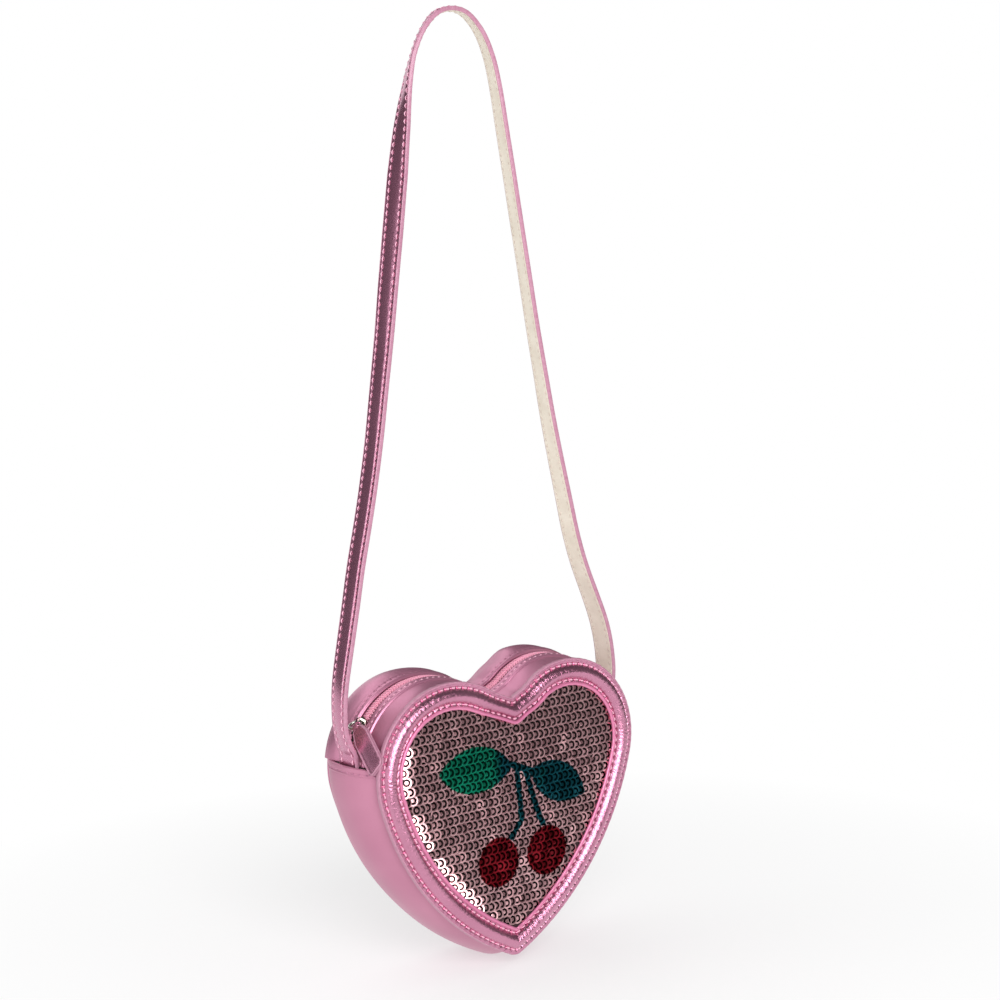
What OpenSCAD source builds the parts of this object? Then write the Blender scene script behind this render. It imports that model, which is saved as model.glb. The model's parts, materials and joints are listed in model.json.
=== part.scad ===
// Heart shaped purse on a shoulder strap, in millimetres.
// The origin is the inner underside of the strap's crest: X runs across the heart,
// Y runs from the sequin front to the back, Z runs up.
// The bag is drawn flat, as a pattern: x across, y up, z towards the front.
// on_bag() stands that pattern up below the strap.

/* [Heart] */
// Width over the two side seams
heart_w = 150; // [130:1:170]
// Radius of each lobe at the seam
lobe_r = 40.5; // [38.5:0.5:43.5]
// Depth of the point below the lobe centres
heart_point = 95; // [82:1:110]
// Radius of the long side curves
side_r = 130; // [115:1:160]
// Radius of the notch between the lobes
cleft_r = 12; // [8:0.5:16]
// Distance between the front and the back seam
depth = 42; // [36:1:50]

/* [Leather] */
// Thickness of the bag's leather
leather_t = 1.2; // [0.9:0.1:1.5]
// Width of the seam allowance that stands outside the gusset
flange_w = 4; // [3:0.1:5]
// Thickness of the lining cloth
lining_t = 0.6; // [0.4:0.1:0.8]
// Thickness of the stiffening boards
board_t = 1.4; // [1:0.1:2]

/* [Front frame] */
// Width of the padded frame, from the seam's edge to the sequins
frame_w = 12.5; // [11:0.5:15]
// Height of the frame's padding
frame_crown = 2.6; // [1.5:0.1:3.5]
// Height of the back panel's padding
back_crown = 1.4; // [0.8:0.1:2]

/* [Sequins] */
// Diameter of one sequin
sequin_d = 5.2; // [4.5:0.1:6]
// Height of one row of sequins
sequin_row = 4.5; // [4:0.1:5]
// Thickness of one sequin
sequin_t = 0.3; // [0.2:0.05:0.4]
// Radius of one cherry
cherry_r = 11.5; // [9:0.5:13]
// Length of the larger leaf
leaf_l = 40; // [32:1:46]
// Width of the larger leaf
leaf_w = 21; // [16:1:24]
// Width of a stalk
stalk_w = 3.4; // [2.5:0.1:4.5]

/* [Zip] */
// Outward swell of the zip gusset
zip_bulge = 3.5; // [2:0.1:4.2]
// Gap between the leather edges along the zip
zip_gap = 7.2; // [6.8:0.1:9]
// Width of the two closed coils together
coil_w = 5; // [4.4:0.1:5.4]
// Height of the coils above the tape
coil_h = 1.1; // [0.8:0.1:1.4]
// Spacing of the coil's turns
coil_pitch = 2.2; // [2:0.1:3]
// Width of one zip tape
tape_w = 12; // [9:0.5:14]

/* [Slider] */
// Length of the zip slider
slider_l = 9; // [8:0.5:11]
// Width of the zip slider
slider_w = 8.4; // [7.8:0.2:9.4]
// Radius of the pull ring, to the middle of its wire
ring_r = 2.8; // [2.6:0.1:3.2]
// Radius of the ring's wire
ring_wire_r = 0.6; // [0.45:0.05:0.75]
// Length of the leather pull tab
tab_l = 25; // [22:1:30]
// Width of the leather pull tab
tab_w = 10; // [9:0.5:13]

/* [Strap] */
// Height of the strap's crest above the lobe centres
strap_drop = 340; // [280:5:420]
// Width of the strap
strap_w = 12.5; // [10:0.5:15]
// Thickness of the strap's outer leather
strap_leather_t = 1.5; // [1.2:0.1:1.8]
// Thickness of the strap's inner lining
strap_lining_t = 0.9; // [0.7:0.1:1.2]
// Height of the strap's hinge line above the lobe centres
pivot_h = 9; // [8.5:0.1:10]

/* [Hidden] */
$fn = 96;

// Clearance between pieces that move on each other
run_gap = 0.3;
// Clearance between plies that are sewn or glued together
ply_gap = 0.1;
// Overrun of every cut
cut = 1;
// Size of the half space used to trim a pattern
field = 2 * (heart_w + heart_point);

// The heart's own geometry, for its right half
lobe_x = heart_w / 2 - lobe_r;
fold_r = 1.2;
tip_r = flange_w + leather_t + lining_t + ply_gap + fold_r;
lobe_c = [lobe_x, 0];
tip_c = [0, tip_r - heart_point];
// The notch widens by the gap where the lobes stand apart
notch_r = max(cleft_r, lobe_x - lobe_r + cleft_r);
cleft_c = [0, sqrt(pow(lobe_r + notch_r, 2) - pow(lobe_x, 2))];

// The long side curve touches both the lobe circle and the tip circle
function unit(v) = v / norm(v);
function turned(v) = [-v[1], v[0]];
lobe_reach = side_r - lobe_r;
tip_reach = side_r - tip_r;
tip_way = norm(tip_c - lobe_c);
along = (pow(lobe_reach, 2) - pow(tip_reach, 2) + pow(tip_way, 2)) / (2 * tip_way);
across = sqrt(pow(lobe_reach, 2) - pow(along, 2));
side_c = lobe_c + along * unit(tip_c - lobe_c) - across * turned(unit(tip_c - lobe_c));

function heading(v) = atan2(v[1], v[0]);
lobe_low = heading(lobe_c - side_c);
lobe_high = heading(cleft_c - lobe_c);
side_low = heading(tip_c - side_c);
cleft_from = -90;
cleft_to = heading(lobe_c - cleft_c);

// The bottom gusset ends at this height on both sides of the bag
gusset_top = 6;
gusset_a = asin(gusset_top / lobe_r);

// Depths of the seam planes, measured from the bag's middle
seam_z = depth / 2;
wall_z = seam_z - leather_t;
board_z = seam_z - leather_t - lining_t;
inner_d = flange_w + leather_t + ply_gap;

// Strap sizes and the pocket that its ends are sewn in
strap_t = strap_leather_t + ply_gap + strap_lining_t;
// The zip gusset keeps this much of its swell where the strap goes in
root_share = 0.72;
root_bulge = root_share * zip_bulge;
root_x = heart_w / 2 - flange_w + root_bulge + run_gap + strap_t / 2;
pocket_r = norm([root_x + strap_t / 2 + run_gap - lobe_x, gusset_top]);
gusset_bulge = (pocket_r + leather_t + flange_w - lobe_r) / (1 - pow(strap_w / 2 / wall_z, 2));

module on_bag() {
    translate([0, 0, -strap_drop]) rotate([90, 0, 0]) children();
}

// Region of the heart, drawn in by d from the seam's edge. Its arcs meet a hair off the
// tangent, so that each corner between them is a clean one.
hair = 0.01;
module heart(d = 0) {
    far = 2 * side_r;
    beside_lobe = lobe_c + far * unit(lobe_c - side_c);
    beside_tip = tip_c + far * unit(tip_c - side_c);
    outline = [
        [0, 0], lobe_c, beside_lobe, [far, -far], beside_tip, tip_c
    ];
    for (side = [0, 1]) mirror([side, 0]) {
        translate(lobe_c) circle(r = lobe_r - d);
        difference() {
            intersection() {
                translate(side_c) circle(r = side_r - d - hair);
                mirror([1, 0]) translate(side_c) circle(r = side_r - d - hair);
                polygon(d < tip_r ? outline : concat([for (i = [0 : 3]) outline[i]], [[0, -far]]));
            }
            translate(cleft_c) circle(r = notch_r + d + hair);
        }
        difference() {
            polygon([[0, -cut], lobe_c, cleft_c]);
            translate(cleft_c) circle(r = notch_r + d + hair);
        }
    }
    if (d < tip_r) translate(tip_c) circle(r = tip_r - d);
}

module plate(d, z, t) {
    translate([0, 0, z]) linear_extrude(t) heart(d);
}

// One arc of the seam, carrying a section of [distance in from the edge, height] points
module seam_arc(centre, r, way, from, to, section) {
    translate(centre) rotate([0, 0, from]) rotate_extrude(angle = to - from)
        polygon([for (p = section) [r - way * p[0], p[1]]]);
}

// A point of the seam's line, drawn in by d. The stretch k is 0 for the notch, 1 for the
// lobe, 2 for the long side and 3 for the point, whose inner line keeps a small round.
function point_r(d) = max(tip_r - d, fold_r);
function point_c(d) = [0, side_c[1] - sqrt(pow(side_r - d - point_r(d), 2) - pow(side_c[0], 2))];
function on_arc(c, r, from, to, f) = c + r * [cos(from + (to - from) * f), sin(from + (to - from) * f)];
function seam_point(k, f, d) =
    k == 0 ? on_arc(cleft_c, notch_r + d, cleft_from, cleft_to, f) :
    k == 1 ? on_arc(lobe_c, lobe_r - d, lobe_high, lobe_low, f) :
    let (low = heading(point_c(d) - side_c))
    k == 2 ? on_arc(side_c, side_r - d, lobe_low, low, f) :
    on_arc(point_c(d), point_r(d), low, -90, f);

// Front frame: a padded band, crowned between its two rows of stitches
crown_share = 0.28;
crown_from = crown_share * frame_w;
crown_steps = 8;
frame_rings = [3, 20, 8, 3];
module front_frame() {
    run = frame_w - crown_from;
    crowned = concat(
        [[0, 0], [0, leather_t]],
        [for (i = [0 : crown_steps])
            [crown_from + run * (1 - cos(180 * i / crown_steps)) / 2,
                leather_t + frame_crown * sin(180 * i / crown_steps)]],
        [[frame_w, 0]]
    );
    half = [for (k = [0 : 3]) for (i = [0 : frame_rings[k] - 1])
        [for (p = crowned) concat(seam_point(k, i / frame_rings[k], p[0]), [p[1]])]];
    foot = [for (p = crowned) concat(seam_point(3, 1, p[0]), [p[1]])];
    rings = concat(half, [foot], [for (i = [len(half) - 1 : -1 : 1])
        [for (p = half[i]) [-p[0], p[1], p[2]]]]);
    color("pink") on_bag() translate([0, 0, seam_z]) loop(rings);
}

// Back panel: the same seam, with a low padded face that rises in fine steps
back_steps = 5;
back_run = 2 * back_crown;
module back_panel() {
    color("palevioletred") on_bag() mirror([0, 0, 1]) {
        plate(0, seam_z, leather_t);
        for (i = [1 : back_steps])
            plate(flange_w + back_run * (1 - cos(90 * i / back_steps)), seam_z,
                leather_t + back_crown * sin(90 * i / back_steps));
    }
}

// Bottom gusset: one strip round the point, swelling between its two turned seams
gusset_steps = 6;
gusset_rings = [5, 9, 4];
function swell(z, b) = flange_w - b * (1 - pow(z / wall_z, 2));
function wall_section(b, in, t, from, to, steps) = concat(
    [for (i = [0 : steps]) let (z = from + (to - from) * i / steps) [swell(z, b) + in, z]],
    [for (i = [steps : -1 : 0]) let (z = from + (to - from) * i / steps) [swell(z, b) + in + t, z]]
);
function arc_path(c, r, from, to, n, first) = [for (i = [first : n])
    [c, r, 1, from + (to - from) * i / n, gusset_bulge]];
module bottom_gusset() {
    path = concat(
        arc_path(lobe_c, lobe_r, gusset_a, lobe_low, gusset_rings[0], 0),
        arc_path(side_c, side_r, lobe_low, side_low, gusset_rings[1], 1),
        arc_path(tip_c, tip_r, side_low, -90, gusset_rings[2], 1));
    turned_d = flange_w + leather_t;
    turned_z = (seam_z + wall_z) / 2;
    z = [for (i = [0 : gusset_steps]) wall_z * (1 - 2 * i / gusset_steps)];
    section = concat(
        [[turned_d, seam_z], [turned_d, turned_z]],
        [for (v = z) [swell(v, gusset_bulge) + leather_t, v * (1 - leather_t / wall_z)]],
        [[turned_d, -turned_z], [turned_d, -seam_z], [0, -seam_z], [0, -wall_z]],
        [for (i = [gusset_steps : -1 : 0]) [swell(z[i], gusset_bulge), z[i]]],
        [[0, wall_z], [0, seam_z]]
    );
    color("hotpink") on_bag() tube(path_rings(path, [for (s = path) section]));
}

lining_rise_share = 0.2;
lining_top = gusset_top + lining_rise_share * lobe_r;
lining_z = board_z - board_t - ply_gap;
module gusset_lining() {
    color("linen") on_bag() translate([0, 0, -lining_z]) linear_extrude(2 * lining_z) intersection() {
        difference() {
            heart(inner_d);
            heart(inner_d + lining_t);
        }
        translate([-field, -field]) square([2 * field, field + lining_top]);
    }
}

// Layers behind the sequins and inside the back
module sequin_backing() {
    color("rosybrown") on_bag() plate(inner_d, seam_z - lining_t, lining_t);
}
module front_board() {
    color("tan") on_bag() plate(inner_d, board_z - board_t, board_t + leather_t - ply_gap);
}
module front_lining() {
    color("linen") on_bag()
        plate(inner_d + lining_t + ply_gap, board_z - board_t - lining_t - ply_gap, lining_t);
}
module back_board() {
    color("tan") on_bag() mirror([0, 0, 1])
        plate(inner_d, board_z - board_t, board_t + leather_t + lining_t - ply_gap);
}
module back_lining() {
    color("linen") on_bag() mirror([0, 0, 1])
        plate(inner_d + lining_t + ply_gap, board_z - board_t - lining_t - ply_gap, lining_t);
}

// Sequins: scalloped rows, each leaning over the row below it
sequin_step_share = 0.6;
sequin_step = sequin_step_share * sequin_d;
sequin_lift = sequin_t + ply_gap;
sequin_lean = asin(2 * sequin_lift / sequin_d);
panel_top = lobe_r - frame_w;
panel_low = heart_point - frame_w;
panel_x = heart_w / 2 - frame_w;
rows = floor((panel_top + panel_low) / sequin_row);
row_count = floor(2 * panel_x / sequin_step);
module sequin_rows() {
    for (i = [0 : rows]) {
        shift = (i % 2) * sequin_step / 2;
        translate([shift - panel_x, panel_top - i * sequin_row, seam_z + sequin_t / 2])
            rotate([-sequin_lean, 0, 0]) linear_extrude(sequin_t) {
                for (k = [0 : row_count]) translate([k * sequin_step, -sequin_row / 2])
                    circle(d = sequin_d, $fn = 24);
                translate([0, -sequin_row / 2]) square([row_count * sequin_step, sequin_d / 2]);
            }
    }
}

// The motif's places are shares of the panel's half width and of its depth
cherry_shares = [[-0.14, -0.557], [0.31, -0.55]];
stalk_foot_shares = [[-0.03, -0.44], [0.27, -0.42]];
stalk_head_share = [0.07, -0.07];
leaf_shares = [[0.05, -0.09], [0.17, -0.1]];
leaf_turns = [176, -22];
leaf_size_shares = [1, 0.78];
function at(share) = [share[0] * panel_x, share[1] * panel_low];
module leaf(l, w) {
    r = (pow(l, 2) + pow(w, 2)) / (4 * w);
    intersection() {
        translate([l / 2, w / 2 - r]) circle(r = r);
        translate([l / 2, r - w / 2]) circle(r = r);
    }
}
module leaves() {
    for (k = [0, 1]) translate(at(leaf_shares[k])) rotate(leaf_turns[k])
        leaf(leaf_l * leaf_size_shares[k], leaf_w * leaf_size_shares[k]);
    for (k = [0, 1]) {
        way = at(stalk_foot_shares[k]) - at(stalk_head_share);
        translate(at(stalk_head_share)) rotate(heading(way))
            translate([-stalk_w / 2, -stalk_w / 2]) square([norm(way) + stalk_w / 2, stalk_w]);
    }
}
module cherries() {
    for (share = cherry_shares) translate(at(share)) circle(r = cherry_r);
}
module sequin_field(t) {
    translate([0, 0, seam_z]) linear_extrude(t) children();
}
sequin_top = leather_t + sequin_d;
panel_in = frame_w + run_gap + hair;
module rose_sequins() {
    color("rosybrown") on_bag() intersection() {
        sequin_rows();
        sequin_field(sequin_top) difference() {
            heart(panel_in);
            leaves();
            cherries();
        }
    }
}
module leaf_sequins() {
    color("green") on_bag() intersection() {
        sequin_rows();
        sequin_field(sequin_top) difference() {
            intersection() {
                heart(panel_in);
                leaves();
            }
            cherries();
        }
    }
}
module cherry_sequins() {
    color("darkred") on_bag() intersection() {
        sequin_rows();
        sequin_field(sequin_top) intersection() {
            heart(panel_in);
            cherries();
        }
    }
}

// Zip gusset: its swell eases down where the strap's ends are sewn in
ease_a = gusset_a + 20;
lobe_rings = 26;
cleft_rings = 5;
function smooth(v) = v <= 0 ? 0 : v >= 1 ? 1 : v * v * (3 - 2 * v);
function eased(a) = root_bulge + (zip_bulge - root_bulge) * smooth((a - gusset_a) / (ease_a - gusset_a));
function half_path(n, m) = concat(
    [for (i = [0 : n]) let (a = gusset_a + (lobe_high - gusset_a) * i / n)
        [lobe_c, lobe_r, 1, a, eased(a)]],
    [for (i = [1 : m]) let (a = cleft_to + (cleft_from - cleft_to) * i / m)
        [cleft_c, notch_r, -1, a, zip_bulge]]
);
function ring_points(s, x_way, section) = [for (p = section)
    let (r = s[1] - s[2] * p[0])
    [x_way * (s[0][0] + r * cos(s[3])), s[0][1] + r * sin(s[3]), p[1]]];
// Rings from the right root, over both lobes, to the left root
function path_rings(path, sections) = concat(
    [for (i = [0 : len(path) - 1]) ring_points(path[i], 1, sections[i])],
    [for (i = [len(path) - 2 : -1 : 0]) ring_points(path[i], -1, sections[i])]
);
function cap(n) = concat(
    [for (k = [0 : floor(n / 2) - 2]) for (h = [0, 1])
        h == 0 ? [k, k + 1, n - 2 - k] : [k, n - 2 - k, n - 1 - k]],
    n % 2 == 0 ? [] : [[floor(n / 2) - 1, floor(n / 2), floor(n / 2) + 1]]
);
// Walls between rings. The quads of the sides in crossed are split on their other diagonal,
// so that two twisted strips that lie on each other turn alike.
function walls(n, m, count, crossed) =
    [for (i = [0 : count - 1]) for (k = [0 : n - 1]) for (h = [0, 1])
        let (a = i * n, b = (i + 1) % m * n, l = (k + 1) % n)
        len(search(k, crossed)) > 0 ?
            (h == 0 ? [a + k, b + k, a + l] : [b + k, b + l, a + l]) :
            (h == 0 ? [a + k, b + l, a + l] : [a + k, b + k, b + l])];
module tube(rings, crossed = []) {
    n = len(rings[0]);
    m = len(rings);
    first = cap(n);
    last = [for (f = first) [for (i = [2 : -1 : 0]) (m - 1) * n + f[i]]];
    polyhedron(points = [for (r = rings) for (p = r) p],
        faces = concat(walls(n, m, m - 1, crossed), first, last), convexity = 8);
}
module loop(rings) {
    polyhedron(points = [for (r = rings) for (p = r) p],
        faces = walls(len(rings[0]), len(rings), len(rings), []), convexity = 8);
}
band_steps = 5;
band_from = zip_gap / 2;
module zip_band() {
    path = half_path(lobe_rings, cleft_rings);
    sections = [for (s = path) concat(
        [for (i = [0 : band_steps]) let (z = band_from + (wall_z - band_from) * i / band_steps)
            [swell(z, s[4]), z]],
        [[0, wall_z], [0, seam_z], [flange_w + leather_t, seam_z]],
        [for (i = [band_steps : -1 : 0]) let (z = band_from + (wall_z - band_from) * i / band_steps)
            [swell(z, s[4]) + leather_t, z]]
    )];
    tube(path_rings(path, sections));
}
module zip_band_front() {
    color("pink") on_bag() zip_band();
}
module zip_band_back() {
    color("pink") on_bag() mirror([0, 0, 1]) zip_band();
}

// Zip tapes under the leather edges, parted by the slot that the slider's neck runs in
slot_half = 0.5;
tape_in = leather_t + ply_gap;
tape_steps = 3;
module zip_tape() {
    path = half_path(lobe_rings, cleft_rings);
    sections = [for (s = path)
        wall_section(s[4], tape_in, lining_t, slot_half, tape_w, tape_steps)];
    tube(path_rings(path, sections));
}
module zip_tape_front() {
    color("deeppink") on_bag() zip_tape();
}
module zip_tape_back() {
    color("deeppink") on_bag() mirror([0, 0, 1]) zip_tape();
}

// Zip coil: a ridged bead on each tape, one ridge for each turn
coil_root_share = 0.45;
lobe_run = (lobe_high - gusset_a) * PI / 180 * lobe_r;
cleft_run = (cleft_to - cleft_from) * PI / 180 * (notch_r + coil_h);
coil_n = 2 * round(lobe_run / coil_pitch);
coil_m = 2 * max(1, round(cleft_run / coil_pitch));
coil_half = coil_w / 2;
module zip_coil(phase) {
    path = half_path(coil_n, coil_m);
    sections = [for (i = [0 : len(path) - 1])
        let (
            floor_d = swell(0, path[i][4]) + tape_in,
            h = (i + phase) % 2 == 0 ? coil_h : coil_h * coil_root_share
        )
        [[floor_d, slot_half], [floor_d - h, slot_half], [floor_d - h, coil_half - coil_h / 2],
            [floor_d - h / 2, coil_half], [floor_d, coil_half]]];
    tube(path_rings(path, sections));
}
module zip_coil_front() {
    color("lightpink") on_bag() zip_coil(0);
}
module zip_coil_back() {
    color("lightpink") on_bag() mirror([0, 0, 1]) zip_coil(1);
}

// The slider runs on the left lobe; its own frame has x along the zip and z outwards
slider_a = 146;
tape_r = lobe_r - (flange_w - zip_bulge + tape_in);
plate_r = tape_r + coil_h + run_gap;
plate_t = 1.2;
skirt_t = 0.5;
keeper_t = 0.8;
keeper_w_share = 0.85;
keeper_l_share = 0.8;
neck_t = 0.4;
keeper_r = sqrt(pow(tape_r - lining_t - run_gap, 2) - pow(slider_l * keeper_l_share / 2, 2));
module at_slider() {
    on_bag() translate([-lobe_c[0], lobe_c[1], 0]) rotate([0, 0, slider_a])
        rotate([90, 0, 90]) children();
}
module slider_outline(l, w, nose) {
    hull_half = l / 2 - nose;
    union() {
        translate([-hull_half, 0]) circle(r = nose);
        polygon([[-hull_half, nose], [hull_half, w / 2], [l / 2, w / 2 - leather_t],
            [l / 2, leather_t - w / 2], [hull_half, -w / 2], [-hull_half, -nose]]);
    }
}
slider_nose_share = 0.42;
skirt_shares = [-0.25, 0.75];
neck_share = 0.25;
module slider_body() {
    skirt_y = coil_half + run_gap / 2;
    keeper_w = slider_w * keeper_w_share;
    color("silver") at_slider() {
        translate([0, 0, plate_r]) linear_extrude(plate_t)
            slider_outline(slider_l, slider_w, slider_nose_share * slider_w);
        for (way = [0, 1]) mirror([0, way, 0])
            translate([slider_l * skirt_shares[0], skirt_y, plate_r - coil_h])
                cube([slider_l * skirt_shares[1], skirt_t, coil_h + plate_t / 2]);
        translate([0, -neck_t / 2, keeper_r - keeper_t / 2])
            cube([slider_l * neck_share, neck_t, plate_r - keeper_r + keeper_t]);
        translate([0, 0, keeper_r - keeper_t]) linear_extrude(keeper_t)
            slider_outline(slider_l * keeper_l_share, keeper_w, slider_nose_share * keeper_w);
    }
}
bridge_w = 1;
bridge_t = 0.9;
bridge_share = 0.8;
bridge_hole_h = 2 * ring_wire_r + 2 * run_gap;
bridge_l = bridge_share * slider_l;
bridge_z = plate_r + plate_t;
module slider_bridge() {
    hole_l = bridge_l - 2 * bridge_t;
    color("silver") at_slider() translate([0, bridge_w / 2, bridge_z]) rotate([90, 0, 0])
        linear_extrude(bridge_w) difference() {
            union() {
                translate([-bridge_l / 2, 0]) square([bridge_l, bridge_hole_h]);
                translate([-bridge_l / 2 + bridge_t, bridge_hole_h]) square([hole_l, bridge_t]);
                for (way = [-1, 1]) translate([way * (bridge_l / 2 - bridge_t), bridge_hole_h])
                    circle(r = bridge_t);
            }
            translate([-hole_l / 2, -cut]) square([hole_l, bridge_hole_h + cut]);
        }
}

// The ring hangs through the bridge's upper end and leans out over it
ring_tilt = 33;
ring_hole = [bridge_t + ring_wire_r + run_gap - bridge_l / 2, 0, bridge_z + ring_wire_r + run_gap];
module on_ring() {
    at_slider() translate(ring_hole) rotate([0, -ring_tilt, 0]) translate([ring_r, 0, 0]) children();
}
module pull_ring() {
    color("silver") on_ring() rotate_extrude() translate([ring_r, 0])
        circle(r = ring_wire_r, $fn = 24);
}

// The pull tab: a folded strip, drawn narrow round the ring, that lies by the frame
tab_turn = 70;
tab_lean = 12.8;
tab_swivel = 51;
tab_ply_t = 0.8;
tab_neck_share = 0.45;
tab_neck_l = 9;
tab_loop_w = 1.6;
tab_loop_gap = 0.35;
tab_eye_r = ring_wire_r + tab_loop_gap;
tab_fold_r = tab_eye_r + tab_ply_t;
tab_slack_share = 0.33;
tab_slack = tab_slack_share * tab_loop_gap;
slider_c = [-lobe_c[0] + cos(slider_a) * ring_hole[2] - sin(slider_a) * ring_hole[0],
    sin(slider_a) * ring_hole[2] + cos(slider_a) * ring_hole[0]];
ring_way = slider_a + 90 - ring_tilt;
tab_reach = ring_r * (1 + cos(tab_turn));
tab_at = [slider_c[0] + tab_reach * cos(ring_way), -ring_r * sin(tab_turn),
    slider_c[1] + tab_reach * sin(ring_way) - strap_drop];
module at_eye() {
    on_ring() rotate([0, 0, tab_turn]) translate([ring_r - tab_slack, 0, 0]) rotate([90, 0, 0]) children();
}
module pull_tab() {
    neck = tab_neck_share * tab_w / 2;
    half = tab_w / 2;
    color("hotpink") difference() {
        union() {
            at_eye() cylinder(r = tab_fold_r, h = tab_loop_w, center = true);
            translate(tab_at) rotate([0, tab_lean, 0]) rotate([-tab_swivel, 0, 0]) rotate([90, 0, 90])
                for (low = [ply_gap / 2, -ply_gap / 2 - tab_ply_t]) translate([0, 0, low])
                    linear_extrude(tab_ply_t) polygon([
                        [-neck, -tab_eye_r], [neck, -tab_eye_r], [half, -tab_neck_l],
                        [half, -tab_l], [-half, -tab_l], [-half, -tab_neck_l]]);
        }
        at_eye() cylinder(r = tab_eye_r, h = tab_loop_w + 2 * cut, center = true);
    }
}

// Small metal stops clamp both ends of the zip
stop_l = 2;
stop_a = 180 - slider_a - (slider_l / 2 + stop_l / 2 + 2 * run_gap) / plate_r * 180 / PI;
module zip_stops() {
    stop_r = lobe_r - (flange_w - eased(stop_a) + tape_in);
    color("silver") on_bag() for (side = [0, 1]) mirror([side, 0, 0])
        translate(lobe_c) rotate([0, 0, stop_a]) translate([stop_r + coil_h, -stop_l / 2, -coil_half])
            cube([lining_t, stop_l, coil_w]);
}

// Strap route: shares of the root's distance from the middle and of the drop
crest_share = 1.003;
route_shares = [[1, 0.0265], [1.004, 0.034], [1.027, 0.046], [1.048, 0.064], [1.055, 0.085],
    [1.046, 0.118], [1.02, 0.15], [0.97, 0.19], [0.9, 0.24], [0.825, 0.30], [0.746, 0.37],
    [0.679, 0.44], [0.624, 0.51], [0.57, 0.58], [0.522, 0.65], [0.472, 0.72], [0.423, 0.79],
    [0.379, 0.85], [0.338, 0.9], [0.29, 0.94], [0.218, 0.973], [0.116, 0.996], [0, crest_share]];
// The strap's turn about its own length, as shares of its turn at the left shoulder
twist_shares = [0, 0, 0.1, 0.25, 0.3, 0.3, 0.3, 0.3, 0.3, 0.32, 0.34, 0.36, 0.4, 0.45, 0.5, 0.6,
    0.75, 0.9, 1, 1, 0.95, 0.85, 0.75];
far_twist_shares = [0, 0, 0, 0, 0, 0, 0, 0.05, 0.1, 0.16, 0.23, 0.3, 0.37, 0.42, 0.45, 0.45,
    0.45, 0.47, 0.5, 0.54, 0.6, 0.68];
shoulder_twist = 38;
strap_steps = 2;
function route_point(i) = [
    -root_x * route_shares[i][0], 0,
    i == 0 ? pivot_h - strap_drop : (route_shares[i][1] - crest_share) * strap_drop + strap_t / 2];
function curve(p, i, f) = 0.5 * (2 * p[i] + f * (p[i + 1] - p[i - 1])
    + f * f * (2 * p[i - 1] - 5 * p[i] + 4 * p[i + 1] - p[i + 2])
    + f * f * f * (3 * p[i] - p[i - 1] - 3 * p[i + 1] + p[i + 2]));
half_n = len(route_shares) - 1;
left_half = [for (i = [0 : half_n]) route_point(i)];
whole = concat([2 * left_half[0] - left_half[1]], left_half,
    [for (i = [half_n - 1 : -1 : 0]) [-left_half[i][0], 0, left_half[i][2]]],
    [[2 * -left_half[0][0] + left_half[1][0], 0, 2 * left_half[0][2] - left_half[1][2]]]);
twists = concat([0], twist_shares, [for (i = [half_n - 1 : -1 : 0]) far_twist_shares[i]], [0]);
route = concat([for (i = [1 : len(whole) - 3]) for (k = [0 : strap_steps - 1])
    curve(whole, i, k / strap_steps)], [whole[len(whole) - 2]]);
route_twist = concat([for (i = [1 : len(whole) - 3]) for (k = [0 : strap_steps - 1])
    shoulder_twist * (twists[i] + (twists[i + 1] - twists[i]) * k / strap_steps)], [0]);
function route_way(i) = unit(route[min(i + 1, len(route) - 1)] - route[max(i - 1, 0)]);
function square_to(v, t) = unit(v - (v * t) * t);
// Rings of a flat strip that lies between two depths of the strap's thickness
function strap_ring(at, w, out, low, high) = [
    at + w + low * out, at - w + low * out, at - w + high * out, at + w + high * out];
// Each end is round about the hinge line, so that the bag swings without a clash
end_steps = 6;
function end_ring(side, a, low, high) = strap_ring(
    [side * root_x, 0, pivot_h - strap_drop - sin(a) * strap_w / 2],
    [0, -cos(a) * strap_w / 2, 0], [side, 0, 0], low, high);
function strap_rings(low, high) = concat(
    [for (i = [end_steps - 1 : -1 : 1]) end_ring(-1, 90 * i / end_steps, low, high)],
    [for (i = [0 : len(route) - 1])
        let (
            t = route_way(i),
            a = -route_twist[i],
            w = square_to([sin(a), -cos(a), 0], t) * strap_w / 2
        )
        strap_ring(route[i], w, cross(w, t) / norm(w), low, high)],
    [for (i = [1 : end_steps - 1]) end_ring(1, 90 * i / end_steps, low, high)]
);
lining_low = -strap_t / 2;
leather_low = strap_t / 2 - strap_leather_t;
module strap_leather() {
    color("palevioletred") tube(strap_rings(leather_low, strap_t / 2));
}
module strap_lining() {
    color("wheat") tube(strap_rings(lining_low, lining_low + strap_lining_t), [2]);
}

// The sewn ends of the strap lie in the gusset's pocket and follow its curve
tail_l = 18;
tail_top = 5;
module strap_tail() {
    tail_r = lobe_r - flange_w + root_bulge + run_gap;
    tail_d = lobe_r - tail_r - strap_t;
    on_bag() mirror([1, 0, 0]) difference() {
        seam_arc(lobe_c, lobe_r, 1, asin((tail_top - tail_l) / tail_r), asin(tail_top / tail_r), [
            [tail_d, -strap_w / 2], [tail_d + strap_t, -strap_w / 2],
            [tail_d + strap_t, strap_w / 2], [tail_d, strap_w / 2]]);
        translate([lobe_x, pivot_h, 0]) rotate([0, 90, 0])
            cylinder(d = strap_w + 2 * run_gap, h = heart_w);
    }
}
module strap_tail_left() {
    color("palevioletred") strap_tail();
}
module strap_tail_right() {
    color("palevioletred") mirror([1, 0, 0]) strap_tail();
}

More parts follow.
